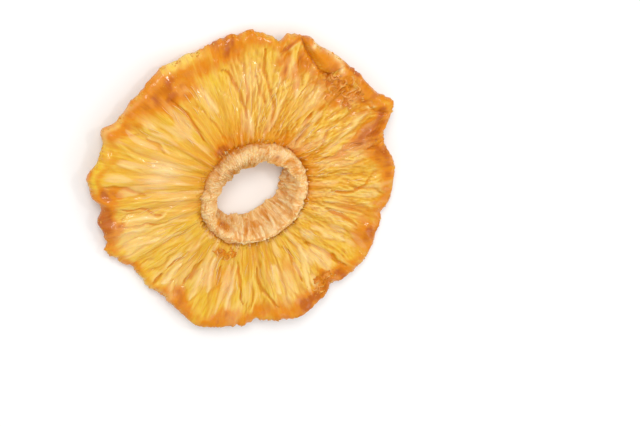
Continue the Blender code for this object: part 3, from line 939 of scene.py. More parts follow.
def collar_strands(shape, angle, knot):
    """Strands that run over the crest and down the hole: their height and tone."""
    draw = np.random.default_rng(shape.seed + 11)
    height = np.zeros_like(knot)
    tone = np.full_like(knot, 0.5)
    for at_knot, count, half_length, half_width, high in COLLAR_ROWS:
        for number in range(count):
            at = (number + draw.uniform(-0.6, 0.6)) * 360.0 / count % 360.0
            middle = at_knot + draw.uniform(-1.2, 1.2)
            long = half_length * draw.uniform(0.5, 1.4)
            wide = half_width * math.exp(draw.normal(0.0, 0.5)) / COLLAR_ROUND * 360.0
            own_high = high * draw.uniform(0.4, 1.3)
            lean = draw.normal(0.0, 2.4)
            own = draw.uniform(0.0, 1.0)
            window = int((wide * 1.2 + 4.0) / 360.0 * COLLAR_STEPS) + 2
            index = int(at / 360.0 * COLLAR_STEPS) + np.arange(-window, window + 1)
            index = index % COLLAR_STEPS
            up = (knot[index] - middle) / long
            side = around(angle[index], at) - lean * up
            left = np.clip(1.0 - up**2, 0.0, 1.0)
            bump = np.clip(1.0 - (side / (wide * np.sqrt(left) + 1e-6)) ** 2, 0.0, 1.0)
            show_over(height, tone, index, own_high * bump * left**0.3, own)
    return height, tone


def collar_piece(shape):
    """The fibrous collar left of the core, with the hole through it."""
    steps = np.arange(COLLAR_STEPS) * 360.0 / COLLAR_STEPS
    knots = collar_knots(shape, steps)
    section = through_knots(knots, COLLAR_SUBSTEPS)
    knot = np.arange(section.shape[1])[None, :] / COLLAR_SUBSTEPS
    knot = np.broadcast_to(knot, section.shape[:2])
    angle = np.broadcast_to(steps[:, None], section.shape[:2])
    share = knot / len(knots)

    def noise(cells_round, cells_along, seed):
        return patchy(angle, share, cells_round, cells_along, seed)

    along = np.roll(section, -1, axis=1) - np.roll(section, 1, axis=1)
    step_long = np.linalg.norm(along, axis=2)
    arc = np.cumsum(0.5 * step_long, axis=1)
    along = along / np.maximum(step_long[..., None], 1e-6)
    outward = np.stack([along[..., 1], -along[..., 0]], axis=2)

    strand, strand_tone = collar_strands(shape, angle, knot)
    (lump, lump_tone), (grit, grit_tone) = (
        crumbs(angle / 360.0 * cells, arc / COLLAR_ROUND * cells, seed, cells)
        for cells, seed in ((90, 71), (190, 72))
    )
    on_end = np.clip(hill(knot - 3.8, 1.5) + hill(knot - 12.5, 1.2), 0.0, 1.0)
    upper_left = smooth(0.7 + 0.6 * np.cos(np.radians(angle - 160.0)))
    grainy = np.clip(on_end * (0.35 + 0.65 * upper_left), 0.0, 1.0)
    grainy = np.maximum(grainy, 0.7 * smooth((noise(16, 5, 73) - 0.2) / 0.3))
    pit_at, pit_half = PITS_AT
    pits = hill(knot - 5.1, 0.75) * smooth(1.6 - np.abs(around(angle, pit_at)) / pit_half)
    lip = hill(knot - 10.3, 0.9) + 0.5 * hill(knot - 5.9, 0.8)
    tatters = 0.45 * noise(30, 3, 74) + 0.32 * noise(84, 6, 75)
    swell = 0.26 * noise(24, 5, 76) + 0.18 * noise(60, 12, 77)
    relief = (strand - 0.14) * (1.0 - 0.7 * grainy)
    relief += grainy * (0.3 * lump + 0.16 * grit - 0.24) + 0.09 * (grit - 0.5)
    relief -= 0.4 * pits * (1.0 - grit)
    relief += 0.12 * noise(250, 16, 153) + 0.08 * noise(170, 60, 154)
    relief = relief * (1.0 - 0.6 * np.clip(lip, 0.0, 1.0)) + tatters * lip + swell
    quiet = smooth(np.minimum(knot, len(knots) - knot) / 1.5)
    section = section + outward * (relief * quiet)[..., None]
    points = placed(shape, angle, section[..., 0], section[..., 1])

    # Tints. crest becomes painted shade in the hollows and painted highlight on the crests; the
    # pits and the collar's foot by the groove are darkened as painted shade.
    sharp = relief - swell
    crest = 0.5 + 0.5 * (sharp - blur_round(sharp, 8)) / 0.16
    # Painted shade: the pits darken the crest tint.
    crest = np.clip(crest - 0.8 * pits * (1.0 - grit), 0.0, 1.0)
    amber = highest(
        0.36 * smooth((noise(40, 16, 78) - 0.34) / 0.3),
        0.33 * smooth((noise(84, 34, 81) - 0.42) / 0.25),
        # Painted shade: the collar's foot where it meets the flesh, by the groove.
        0.7 * hill(knot - 0.5, 0.7), 0.7 * hill(knot - 14.6, 0.8),
        # Painted shade in the pits.
        0.8 * pits * (1.0 - grit),
    )
    for at, at_knot, half_round, half_knots, strength in COLLAR_AMBER:
        near = hill(around(angle, at), half_round) * hill(knot - at_knot, half_knots)
        amber = np.maximum(amber, strength * near * (0.75 + 0.5 * grit_tone))
    amber = np.clip(amber, 0.0, 1.0)
    cream = 0.1 + 0.5 * hill(knot - 3.2, 0.9) + 0.6 * smooth((strand_tone - 0.55) / 0.3)
    cream += 0.5 * smooth((noise(34, 10, 82) - 0.1) / 0.5)
    cream += 0.4 * hill(knot - 3.8, 1.3) * smooth(0.4 + 0.8 * np.cos(np.radians(angle - 95.0)))
    cream *= 0.6 + 0.6 * noise(90, 14, 79)
    cream = np.clip(cream + 0.3 * grainy * (lump_tone - 0.4), 0.0, 1.0)
    tone = np.clip(0.5 + 0.4 * noise(26, 6, 80) + 0.2 * (grit_tone - 0.5), 0.0, 1.0)
    tints = np.stack([crest, amber, cream, tone], axis=2)
    return closed_grid("core_collar", points, tints)


def swept_threads(name, paths, half_width, half_thick, flat_way, sides, tints):
    """A mesh of closed threads or ribbons. paths is (threads, points, 3) in millimetres, the
    halves are (threads, points), and flat_way is the way that a ribbon's width runs."""
    threads, length = paths.shape[:2]
    tangent = np.gradient(paths, axis=1)
    tangent /= np.linalg.norm(tangent, axis=2, keepdims=True) + 1e-9
    width_way = flat_way - tangent * (flat_way * tangent).sum(axis=2, keepdims=True)
    width_way /= np.linalg.norm(width_way, axis=2, keepdims=True) + 1e-9
    thick_way = np.cross(tangent, width_way)
    turn = np.arange(sides) * math.tau / sides
    points = (
        paths[:, :, None, :]
        + width_way[:, :, None, :] * (half_width[:, :, None] * np.cos(turn))[..., None]
        + thick_way[:, :, None, :] * (half_thick[:, :, None] * np.sin(turn))[..., None]
    )
    faces = []
    for first in range(0, threads * length * sides, length * sides):
        last = first + (length - 1) * sides
        for at in range(first, last, sides):
            for side in range(sides):
                other = (side + 1) % sides
                faces.append((at + side, at + other, at + sides + other, at + sides + side))
        faces.append(tuple(range(first + sides - 1, first - 1, -1)))
        faces.append(tuple(range(last, last + sides)))
    return tinted_mesh(name, points, faces, np.repeat(tints, length * sides, axis=0))


def thread_tints(draw, count, *spans):
    """Tints of separate pieces: crest, amber and cream, each within its own span, and tone."""
    return np.stack([draw.uniform(*span, count) for span in (*spans, (0.2, 0.8))], axis=1)


def ring_frame(angle):
    """Unit ways out and round the ring at each angle."""
    turned = np.radians(angle)
    out = np.stack([np.cos(turned), np.sin(turned), 0.0 * turned], axis=1)
    side = np.stack([-np.sin(turned), np.cos(turned), 0.0 * turned], axis=1)
    return out, side


def curved_paths(root, way, curl, length, points):
    """Paths that start at root, run along way and curl."""
    t = np.linspace(0.0, 1.0, points)[None, :, None]
    bent = way[:, None, :] * t + curl[:, None, :] * t**2
    return root[:, None, :] + length[:, None, None] * bent


GROOVE_FIBRES = 40
CREST_FIBRES = 50
HOLE_FIBRES = 40


def fringe_piece(shape):
    """Short fibres round the groove, on the crest of the collar and at the edges of the hole."""
    draw = np.random.default_rng(shape.seed + 21)
    lip = FLESH_HEIGHT + HALF_AT_COLLAR
    long = shape.fibre_length / MM

    def off_collar(angle, nearest, farthest, way):
        return oval_radius(angle, COLLAR_TOP) + way * draw.uniform(nearest, farthest, len(angle))

    def crest(angle):
        return crest_height(shape, angle)

    # Count, radius, height, way outwards and up, shortest, longest and half width.
    rows = (
        (GROOVE_FIBRES, lambda at: off_collar(at, 0.5, 1.5, 1.0), lambda at: lip - 0.35 + 0.0 * at,
         -1.0, 0.0, 0.4, 0.8, 0.2),
        (CREST_FIBRES, lambda at: off_collar(at, 0.5, 3.0, -1.0), lambda at: crest(at) - 0.45,
         0.6, 0.3, 0.25, 0.5, 0.07),
        (HOLE_FIBRES, lambda at: hole_foot(at) + 0.35, lambda at: 1.4 + 0.0 * at,
         -1.0, -0.5, 0.3, 0.7, 0.12),
        (HOLE_FIBRES, lambda at: hole_top(at) + 0.3, lambda at: crest(at) - 1.0,
         -1.0, 0.1, 0.25, 0.5, 0.1),
    )
    parts = []
    for count, radius_of, height_of, outwards, upwards, shortest, longest, width in rows:
        angle = draw.uniform(0.0, 360.0, count)
        out, side = ring_frame(angle)
        root = placed(shape, angle, radius_of(angle), height_of(angle))
        lean = draw.normal(0.0, 0.45, (count, 1))
        lift = upwards * draw.uniform(0.4, 1.5, (count, 1))
        way = out * outwards * draw.uniform(0.5, 1.4, (count, 1)) + side * lean
        way += np.array((0.0, 0.0, 1.0)) * lift
        way /= np.linalg.norm(way, axis=1, keepdims=True)
        curl = draw.normal(0.0, 0.22, (count, 3))
        length = draw.uniform(shortest * long, longest * long, count)
        parts.append((root, way, curl, length, draw.uniform(0.6, 1.4, count) * width))
    root, way, curl, length, width = (np.concatenate(part) for part in zip(*parts))
    paths = curved_paths(root, way, curl, length, 5)
    width = width[:, None] * np.array((1.0, 0.95, 0.8, 0.55, 0.15))[None, :]
    flat_way = np.broadcast_to(np.array((0.3, 0.2, 0.9)), paths.shape)
    tints = thread_tints(draw, len(root), (0.5, 0.8), (0.1, 0.4), (0.1, 0.5))
    return swept_threads("fringe_fibres", paths, width, width * 0.8, flat_way, 4, tints)


# Pads of wrinkled crust: angle, half width in degrees, radius, half width, amber.
PADS = (
    (46.8, 13.4, 33.6, 5.9, 0.82), (310.5, 8, 33.8, 3.6, 0.74), (254, 14, 17.6, 2.2, 0.64),
)
PAD_STEPS = 150
PAD_STATIONS = 60
# Loops of skin that stand up on the pads: angle, radius, half width, start and turn.
LOOPS = (
    (52.2, 37.1, 1.05, 10, 345), (55.2, 35.3, 0.85, 100, 220), (57.6, 33.4, 0.8, 60, 230),
    (50.4, 35.2, 0.8, 200, 230), (48.4, 37, 0.85, 300, 190), (52, 32.4, 0.9, 40, 210),
    (46.2, 33.8, 0.9, 100, 240), (44.6, 36.3, 0.8, 250, 190), (42, 33.2, 0.8, 330, 200),
    (38.6, 35.4, 0.8, 60, 180), (249.5, 17.5, 0.7, 20, 220), (257, 18.2, 0.75, 200, 200),
    (309, 34.6, 1, 90, 280), (313, 33.6, 0.8, 310, 200), (306.5, 32.8, 0.8, 200, 210),
)
LOOP_POINTS = 9
LOOP_HALF_WIDTH = 0.26
LOOP_HEIGHT = 0.5
# Relief of the pads: cells round the ring, cells along a pad, and height.
PAD_LUMPS = (100, 5, 0.75)
PAD_FOLDS = (190, 8, 0.8)
PAD_TOP_SUNK = 0.5  # how far the rims of a pad's top and base lie below the flesh's face
PAD_BASE_SUNK = 0.9


def loop_line(at, out, half, start, turn):
    """A loop as a line with its half width, strength and points."""
    middle = on_ring(at, out)
    points = []
    for way in np.radians(start + turn * np.linspace(0.0, 1.0, LOOP_POINTS)):
        reach = half * (1.0 + 0.25 * math.sin(2.0 * way + at))
        x, y = middle + reach * np.array((math.cos(way), math.sin(way)))
        points.append((math.degrees(math.atan2(y, x)), math.hypot(x, y)))
    return LOOP_HALF_WIDTH, 1.0, points


def pads_piece(shape):
    """Pads of wrinkled crust that lie on the flesh, each a closed lens with a folded top."""
    places = []
    tints = []
    faces = []
    across = np.linspace(-1.0, 1.0, PAD_STEPS)[:, None]
    along = np.linspace(-1.0, 1.0, PAD_STATIONS)[None, :]
    for number, (at, half, out, half_out, own_amber) in enumerate(PADS):
        angle = at + half * across + 0.0 * along
        share = 0.5 + 0.5 * along + 0.0 * across

        def noise(cells_round, cells_along, seed, bend=0.0, slide=0.0):
            return patchy(angle + bend, share + slide, cells_round, cells_along, seed)

        low = np.maximum(out - half_out, oval_radius(angle, COLLAR_TOP) + 0.6)
        high = np.minimum(out + half_out, edge_radius(shape, angle) - 1.0)
        radius = low + (high - low) * share
        turned = np.radians(angle)
        x = radius * np.cos(turned)
        y = radius * np.sin(turned)
        own_loops = [row for row in LOOPS if abs(around(row[0], at)) < half]
        loops, _ = marked(x, y, [loop_line(*row) for row in own_loops])
        pits = np.zeros_like(angle)
        for loop_at, loop_out, loop_half, _, _ in own_loops:
            middle = on_ring(loop_at, loop_out)
            pits = np.maximum(pits, hill(np.hypot(x - middle[0], y - middle[1]), 0.5 * loop_half))
        bend = 0.9 * noise(90, 4, 83 + number)
        slide = 0.12 * noise(100, 4, 87 + number)
        *cells, tall = PAD_LUMPS
        folds = tall * noise(*cells, 95 + 5 * number, bend)
        *cells, tall = PAD_FOLDS
        folds += tall * (0.4 - np.abs(noise(*cells, 96 + 5 * number, bend, slide)))
        body = smooth(1.25 * (1.0 - across**2 - along**2) + 0.9 * noise(70, 5, 120 + number))
        relief = 0.55 + 0.5 * folds + 0.05 * noise(520, 22, 125 + number)
        relief += LOOP_HEIGHT * (loops - 0.8 * pits)
        ground = height_on_flesh(angle, radius)
        # Tints. crest becomes painted shade in the fold valleys and painted highlight on the fold
        # tops; the loops' hollows and the fold valleys are made more amber, also painted shade.
        crest = np.clip(0.5 + 0.8 * folds + 0.4 * loops, 0.0, 1.0)
        amber = own_amber + 0.2 * noise(60, 4, 130) - 0.25 * folds + 0.5 * pits
        amber = np.clip(amber - 0.35 * loops, 0.0, 1.0)
        cream = np.clip(0.9 * folds - 0.3, 0.0, 0.1) + 0.24 * loops
        tint = np.stack([crest, amber, cream, 0.5 + 0.0 * crest], axis=2)
        faces += lens_faces(sum(len(part) for part in places), PAD_STEPS, PAD_STATIONS)
        for height in (ground - PAD_TOP_SUNK + body * relief, ground - PAD_BASE_SUNK):
            places.append(placed(shape, angle, radius, height).reshape(-1, 3))
            tints.append(tint.reshape(-1, 4))
    return tinted_mesh("crust_pads", np.concatenate(places), faces, np.concatenate(tints))


def lens_faces(first, steps, stations):
    """Faces of a closed body from two grids of the same size, the upper one first."""
    size = steps * stations
    grid = first + np.arange(size).reshape(steps, stations)
    upper = np.stack([grid[:-1, :-1], grid[:-1, 1:], grid[1:, 1:], grid[1:, :-1]], axis=2)
    both = np.stack([upper, upper[..., [0, 3, 2, 1]] + size], axis=2)
    faces = [both.reshape(-1, 4)]
    for rim, turned in (
        (grid[0], False), (grid[-1], True), (grid[:, 0], True), (grid[:, -1], False),
    ):
        a, b = rim[:-1], rim[1:]
        corners = (a, b, b + size, a + size) if turned else (a, a + size, b + size, b)
        faces.append(np.stack(corners, axis=1))
    return np.concatenate(faces).tolist()


# Fine fibres that lie along the flesh: nearest and farthest start, shortest and longest.
LYING_FIBRES = 130
LYING_FROM = (16.0, 27.0)
LYING_LONG = (2.0, 5.0)
LYING_WITHIN = (15.5, 31.0)
LYING_POINTS = 12


def lying_piece(shape):
    """Pale fibres that lie loose along the strands of the flesh."""
    draw = np.random.default_rng(shape.seed + 41)
    count = LYING_FIBRES
    angle = draw.uniform(0.0, 360.0, count)[:, None]
    start = draw.uniform(*LYING_FROM, count)[:, None]
    long = draw.uniform(*LYING_LONG, count)[:, None]
    steps = np.linspace(0.0, 1.0, LYING_POINTS)[None, :]
    sideways = draw.normal(0.0, 0.14, (count, 1)) * long * steps
    sideways = sideways + draw.normal(0.0, 0.25, (count, 1)) * np.sin(steps * 2.6)
    radius = np.clip(start + long * steps, *LYING_WITHIN)
    angle = angle + np.degrees(sideways / radius)
    lift = 0.03 + 0.16 * np.sin(steps * math.pi) * draw.uniform(0.0, 1.0, (count, 1))
    paths = placed(shape, angle, radius, height_on_flesh(angle, radius) + lift)
    width = draw.uniform(0.05, 0.12, (count, 1)) * (0.25 + 0.75 * np.sin(steps * math.pi))
    flat_way = np.broadcast_to(np.array((0.1, 0.1, 0.98)), paths.shape)
    tints = thread_tints(draw, count, (0.7, 1.0), (0.0, 0.3), (0.3, 1.0))
    return swept_threads("lying_fibres", paths, width, width * 0.7, flat_way, 5, tints)


# Crumbs: count, angle, half width, nearest and farthest radius, smallest and largest, amber.
CRUMB_FIELDS = (
    (36, 46, 8, 31, 37, 0.14, 0.34, 0.6), (8, 20, 7, 32, 37, 0.12, 0.22, 0.7),
    # The tiny pale specks at 124 degrees on the glazed band stand for its glints: painted
    # highlight.
    (20, 124, 8, 31, 35, 0.07, 0.13, 0.2), (20, 310, 9, 31.5, 36.5, 0.14, 0.34, 0.6),
    (150, 180, 180, 14.6, 16.6, 0.1, 0.26, 0.4), (60, 180, 180, 17, 36, 0.06, 0.12, 0.15),
    (260, 180, 180, 36.2, 37.6, 0.12, 0.3, 0.45),
)
GOLDEN = (1.0 + math.sqrt(5.0)) / 2.0
CRUMB_CORNERS = tuple(
    corner
    for a in (-1.0, 1.0)
    for b in (-GOLDEN, GOLDEN)
    for corner in ((0.0, a, b), (a, b, 0.0), (b, 0.0, a))
)


def crumb_faces():
    """The 20 faces of a body of 12 corners, each of three corners that are all neighbours."""
    corners = np.array(CRUMB_CORNERS)
    faces = []
    for a, b, c in itertools.combinations(range(12), 3):
        sides = corners[[b, c, c]] - corners[[a, b, a]]
        if np.linalg.norm(sides, axis=1).max() < 2.1:
            outwards = np.cross(sides[0], sides[2]) @ corners[a] > 0.0
            faces.append((a, b, c) if outwards else (a, c, b))
    return np.array(faces)


def crumbs_piece(shape):
    """Grains of crust on the flap's side, at the edge, round the groove and on the flesh."""
    draw = np.random.default_rng(shape.seed + 51)
    corners = np.array(CRUMB_CORNERS) / math.hypot(1.0, GOLDEN)
    points = []
    tints = []
    for count, at, half, nearest, farthest, smallest, largest, amber in CRUMB_FIELDS:
        angle = at + half * draw.uniform(-1.0, 1.0, count)
        radius = draw.uniform(nearest, farthest, count)
        edge = nicked_edge(shape, angle % 360.0)
        if nearest > 36.0:
            radius = edge - draw.uniform(0.1, 0.8, count)
        if farthest < 17.0:
            radius = oval_radius(angle, COLLAR_TOP) + draw.uniform(0.1, 1.6, count)
        radius = np.minimum(radius, edge - 0.1)
        size = smallest + (largest - smallest) * draw.uniform(0.0, 1.0, count) ** 2
        middle = placed(shape, angle, radius, height_on_flesh(angle, radius) - 0.15 * size)
        stretch = draw.uniform(0.6, 1.5, (count, 1, 3)) * size[:, None, None]
        body = corners[None] * stretch * draw.uniform(0.75, 1.2, (count, 12, 1))
        way = draw.uniform(0.0, math.tau, count)[:, None]
        x, y, z = np.moveaxis(body, 2, 0)
        turned_x = x * np.cos(way) - y * np.sin(way)
        turned_y = x * np.sin(way) + y * np.cos(way)
        points.append(middle[:, None, :] + np.stack([turned_x, turned_y, z], axis=2))
        own_amber = (max(amber - 0.15, 0.0), min(amber + 0.15, 1.0))
        own = thread_tints(draw, count, (0.4, 0.7), own_amber, (0.0, 0.3))
        tints.append(np.repeat(own, 12, axis=0))
    points = np.concatenate(points)
    faces = crumb_faces()[None] + 12 * np.arange(len(points))[:, None, None]
    faces = faces.reshape(-1, 3).tolist()
    return tinted_mesh("crust_crumbs", points, faces, np.concatenate(tints))


# Node work shared by the materials.


def add_node(tree, kind, inputs=(), **settings):
    """A node with its settings and its inputs, by number or name. An input is fed by another
    node's socket or has a plain value."""
    node = tree.nodes.new(kind)
    for name, value in settings.items():
        setattr(node, name, value)
    for name, value in inputs.items() if isinstance(inputs, dict) else enumerate(inputs):
        if isinstance(value, bpy.types.NodeSocket):
            tree.links.new(value, node.inputs[name])
        else:
            node.inputs[name].default_value = value
    return node


def mix_colour(tree, factor, first, second):
    inputs = {0: factor, 6: first, 7: second}
    return add_node(tree, "ShaderNodeMix", inputs, data_type="RGBA").outputs[2]


def maths(tree, operation, first, second, clamp=False):
    node = add_node(tree, "ShaderNodeMath", (first, second), operation=operation, use_clamp=clamp)
    return node.outputs[0]


def remap(tree, value, from_low, from_high, to_low, to_high):
    """The value moved from one span to another and kept inside it."""
    inputs = (value, from_low, from_high, to_low, to_high)
    return add_node(tree, "ShaderNodeMapRange", inputs, clamp=True).outputs["Result"]


def new_group(name, sockets):
    """A node group and its sockets, each with its name, way and kind."""
    tree = bpy.data.node_groups.new(name, "ShaderNodeTree")
    for socket, way, kind in sockets:
        tree.interface.new_socket(socket, in_out=way, socket_type=kind)
    given = tree.nodes.new("NodeGroupInput").outputs
    return tree, given, tree.nodes.new("NodeGroupOutput").inputs


def fibre_group():
    """Fine fibres that fan out round the ring's middle. Count is how fine they are."""
    names = (("Count", "INPUT"), ("Along", "INPUT"), ("Detail", "INPUT"), ("Value", "OUTPUT"))
    sockets = [(name, way, "NodeSocketFloat") for name, way in names]
    tree, given, result = new_group("fan_fibres", sockets)
    place = tree.nodes.new("ShaderNodeTexCoord").outputs["Object"]
    x, y, z = add_node(tree, "ShaderNodeSeparateXYZ", (place,)).outputs
    flat = add_node(tree, "ShaderNodeCombineXYZ", (x, y)).outputs[0]
    length = add_node(tree, "ShaderNodeVectorMath", (flat,), operation="LENGTH").outputs["Value"]
    unit = add_node(tree, "ShaderNodeVectorMath", (flat,), operation="NORMALIZE").outputs[0]
    scaled = {0: unit, "Scale": given["Count"]}
    spread = add_node(tree, "ShaderNodeVectorMath", scaled, operation="SCALE").outputs[0]
    depth = maths(tree, "MULTIPLY", maths(tree, "ADD", length, z), given["Along"])
    lift = add_node(tree, "ShaderNodeCombineXYZ", {"Z": depth}).outputs[0]
    whole = add_node(tree, "ShaderNodeVectorMath", (spread, lift), operation="ADD").outputs[0]
    noise = {"Vector": whole, "Scale": 1.0, "Detail": given["Detail"], "Roughness": 0.6}
    tree.links.new(add_node(tree, "ShaderNodeTexNoise", noise).outputs[0], result["Value"])
    return tree


def tint_sockets(tree):
    """The crest, amber, cream and tone that a mesh carries."""
    tint = add_node(tree, "ShaderNodeAttribute", attribute_name="tint").outputs
    parts = add_node(tree, "ShaderNodeSeparateColor", (tint["Color"],)).outputs
    return *parts[:3], tint["Alpha"]


def place_fibres(tree, group, count, along, detail):
    inputs = {"Count": count, "Along": along, "Detail": detail}
    return add_node(tree, "ShaderNodeGroup", inputs, node_tree=group).outputs["Value"]


def grain(tree, scale):
    place = tree.nodes.new("ShaderNodeTexCoord").outputs["Object"]
    inputs = {"Vector": place, "Scale": scale, "Detail": 2.0, "Roughness": 0.6}
    return add_node(tree, "ShaderNodeTexNoise", inputs).outputs[0]


def rgba(colour):
    return (*colour, 1.0)


# Inputs of the skin: its colours, then what the mesh and the fibres give, then plain shares.
SKIN_COLOURS = ("Warm", "Base", "Crease", "Pale", "Amber", "Burnt", "Cream")
SKIN_SHARES = ("Paleness", "Milkiness", "Gloss", "Coat")
SKIN_VALUES = (
    "Crest", "Amber Share", "Cream Share", "Tone", "Fibres", "Coarse Fibres", "Speck", "Wet",
)
# The two looks: the colours that are their own, the plain shares, the fibres' count round and
# along the radius, their relief and how much light passes inside.
LOOKS = {
    "flesh": (
        ("warm", "flesh", "crease_shade", "pale_and_highlight"), (0.7, 0.75, 0.36, 0.62), (95.0, 260.0), 0.4, 0.3,
    ),
    "collar": (
        ("collar_warm", "collar", "collar_crease_shade", "collar_pale_and_highlight"),
        (0.8, 0.6, 0.5, 0.2), (70.0, 420.0), 0.6, 0.25,
    ),
}


def skin_group():
    """The fruit's skin: its colour, roughness, relief and wetness from the mesh's tints, the
    fibres and the grain."""
    sockets = [(name, "INPUT", "NodeSocketColor") for name in SKIN_COLOURS]
    sockets += [(name, "INPUT", "NodeSocketFloat") for name in SKIN_VALUES + SKIN_SHARES]
    sockets += [("Colour", "OUTPUT", "NodeSocketColor")]
    results = ("Roughness", "Height", "Coat Weight")
    sockets += [(name, "OUTPUT", "NodeSocketFloat") for name in results]
    tree, given, result = new_group("fruit_skin", sockets)
    fine = remap(tree, given["Fibres"], 0.3, 0.7, -0.2, 0.2)
    raised = maths(tree, "ADD", given["Crest"], fine, clamp=True)
    high = remap(tree, raised, 0.5, 1.0, 0.0, 1.0)
    uneven = remap(tree, given["Coarse Fibres"], 0.35, 0.65, -0.1, 0.1)
    deep = maths(tree, "ADD", given["Amber Share"], uneven, clamp=True)
    colour = mix_colour(tree, given["Tone"], given["Warm"], given["Base"])
    # Painted shade and highlight: low crest mixes in the crease colour, high crest the pale
    # colour; the cream share is partly milky paleness, partly painted sheen.
    for share, over in (
        (remap(tree, raised, 0.0, 0.5, 0.75, 0.0), "Crease"),
        (maths(tree, "MULTIPLY", high, given["Paleness"]), "Pale"),
        (remap(tree, given["Coarse Fibres"], 0.52, 0.72, 0.0, 0.35), "Pale"),
        (remap(tree, deep, 0.08, 0.52, 0.0, 1.0), "Amber"),
        (remap(tree, deep, 0.62, 1.05, 0.0, 1.0), "Burnt"),
        (maths(tree, "MULTIPLY", given["Cream Share"], given["Milkiness"]), "Cream"),
    ):
        colour = mix_colour(tree, share, colour, given[over])
    rough = remap(tree, given["Speck"], 0.3, 0.7, -0.1, 0.14)
    small = maths(tree, "MULTIPLY", given["Speck"], 0.35)
    wet = remap(tree, given["Wet"], 0.45, 0.62, 0.0, 1.0)
    for name, value in (
        ("Colour", colour),
        ("Roughness", maths(tree, "ADD", given["Gloss"], rough)),
        ("Height", maths(tree, "ADD", given["Fibres"], small)),
        ("Coat Weight", maths(tree, "MULTIPLY", wet, given["Coat"])),
    ):
        tree.links.new(value, result[name])
    return tree


def fruit_material(name, colours, kind):
    """A waxy fruit surface, mixed from the look's own colours by the mesh's tints."""
    own_colours, shares, (count, along), relief, inside = LOOKS[kind]
    fibres = bpy.data.node_groups.get("fan_fibres") or fibre_group()
    skin = bpy.data.node_groups.get("fruit_skin") or skin_group()
    material = bpy.data.materials.new(name)
    material.use_nodes = True
    tree = material.node_tree
    names = (*own_colours, "amber", "burnt", "cream")
    inputs = {socket: rgba(getattr(colours, own)) for socket, own in zip(SKIN_COLOURS, names)}
    inputs.update(zip(SKIN_SHARES, shares))
    values = (
        *tint_sockets(tree),
        place_fibres(tree, fibres, count, along, 4.0),
        place_fibres(tree, fibres, count * 0.35, along * 0.4, 2.0),
        grain(tree, 1500.0),
        grain(tree, 420.0),
    )
    inputs.update(zip(SKIN_VALUES, values))
    result = add_node(tree, "ShaderNodeGroup", inputs, node_tree=skin).outputs
    bump = {"Strength": relief, "Distance": 0.00035, "Height": result["Height"]}
    shader = tree.nodes["Principled BSDF"].inputs
    tree.links.new(result["Colour"], shader["Base Color"])
    tree.links.new(result["Roughness"], shader["Roughness"])
    tree.links.new(result["Coat Weight"], shader["Coat Weight"])
    tree.links.new(add_node(tree, "ShaderNodeBump", bump).outputs[0], shader["Normal"])
    shader["Coat Roughness"].default_value = 0.11
    shader["Subsurface Weight"].default_value = inside
    shader["Subsurface Radius"].default_value = (1.0, 0.5, 0.16)
    shader["Subsurface Scale"].default_value = 0.0014
    shader["Specular IOR Level"].default_value = 0.16
    return material


def length_property(name, description, default):
    return FloatProperty(name=name, description=description, default=default, unit="LENGTH")


def power_property(name, description, default):
    return FloatProperty(name=name, description=description, default=default, subtype="POWER")


class RingShape(PropertyGroup):
    edge_radius: length_property(
        "Edge Radius", "Mean radius of the outer edge, before its lobes", 0.0381
    )
    edge_half: length_property("Edge Half Thickness", "Half the thickness of the edge", 0.00185)
    ragged_edge: length_property("Ragged Edge", "Depth of the small bites along the edge", 0.0005)
    collar_height: length_property("Collar Height", "Height of the core's collar", 0.0089)
    groove_depth: length_property("Groove Depth", "Depth of the groove round the collar", 0.0015)
    strand_height: length_property(
        "Strand Height", "Height of the tallest strands of flesh", 0.0007
    )
    flap_height: length_property(
        "Flap Height", "Height of the flap folded over the edge, above its step", 0.0012
    )
    fibre_length: length_property(
        "Fibre Length", "Length of the loose fibres round the collar", 0.0014
    )
    seed: IntProperty(name="Seed", description="Seed of the strands and fibres", default=7)


def colour_property(name, description, default):
    return FloatVectorProperty(
        name=name, description=description, default=default, subtype="COLOR", min=0.0, max=1.0
    )


class RingColours(PropertyGroup):
    flesh: colour_property("Flesh", "Clear yellow of the flesh", (0.78, 0.5, 0.032))
    # Pale: partly the fibres' own paleness, partly painted highlight on the crests.
    pale_and_highlight: colour_property("Pale", "Pale crests of the flesh", (0.85, 0.6, 0.145))
    # Crease: painted shade in the hollows between the strands.
    crease_shade: colour_property("Crease", "Creases between the strands", (0.62, 0.23, 0.006))
    warm: colour_property("Warm", "Warm gold of the flesh", (0.75, 0.392, 0.03))
    amber: colour_property("Amber", "Orange edge and patches", (0.7, 0.235, 0.004))
    burnt: colour_property("Burnt", "Darkest orange brown", (0.47, 0.105, 0.002))
    # Cream: partly the strands' own milky paleness, partly painted sheen.
    cream: colour_property("Cream", "Milky sheen on some strands", (0.95, 0.73, 0.4))
    collar: colour_property("Collar", "Tan of the collar", (0.89, 0.56, 0.2))
    # Collar pale: partly the fibres' own paleness, partly painted highlight on the crests.
    collar_pale_and_highlight: colour_property("Collar Pale", "Pale strands of the collar", (0.98, 0.77, 0.44))
    # Collar crease: painted shade in the gaps of the collar.
    collar_crease_shade: colour_property("Collar Crease", "Gaps in the collar", (0.74, 0.34, 0.07))
    collar_warm: colour_property("Collar Warm", "Orange in the collar", (0.86, 0.44, 0.13))


class StageSettings(PropertyGroup):
    floor: colour_property("Floor", "Colour of the table", (0.93, 0.93, 0.93))
    key_power: power_property("Key Power", "Power of the large soft light", 1.45)
    fill_power: power_property("Fill Power", "Power of the light from the other side", 0.5)
    glint_power: power_property(
        "Glint Power", "Power of the small light that makes the wet parts glint", 0.3
    )
    world_strength: FloatProperty(
        name="World Strength", description="Strength of the even white surroundings", default=0.75
    )


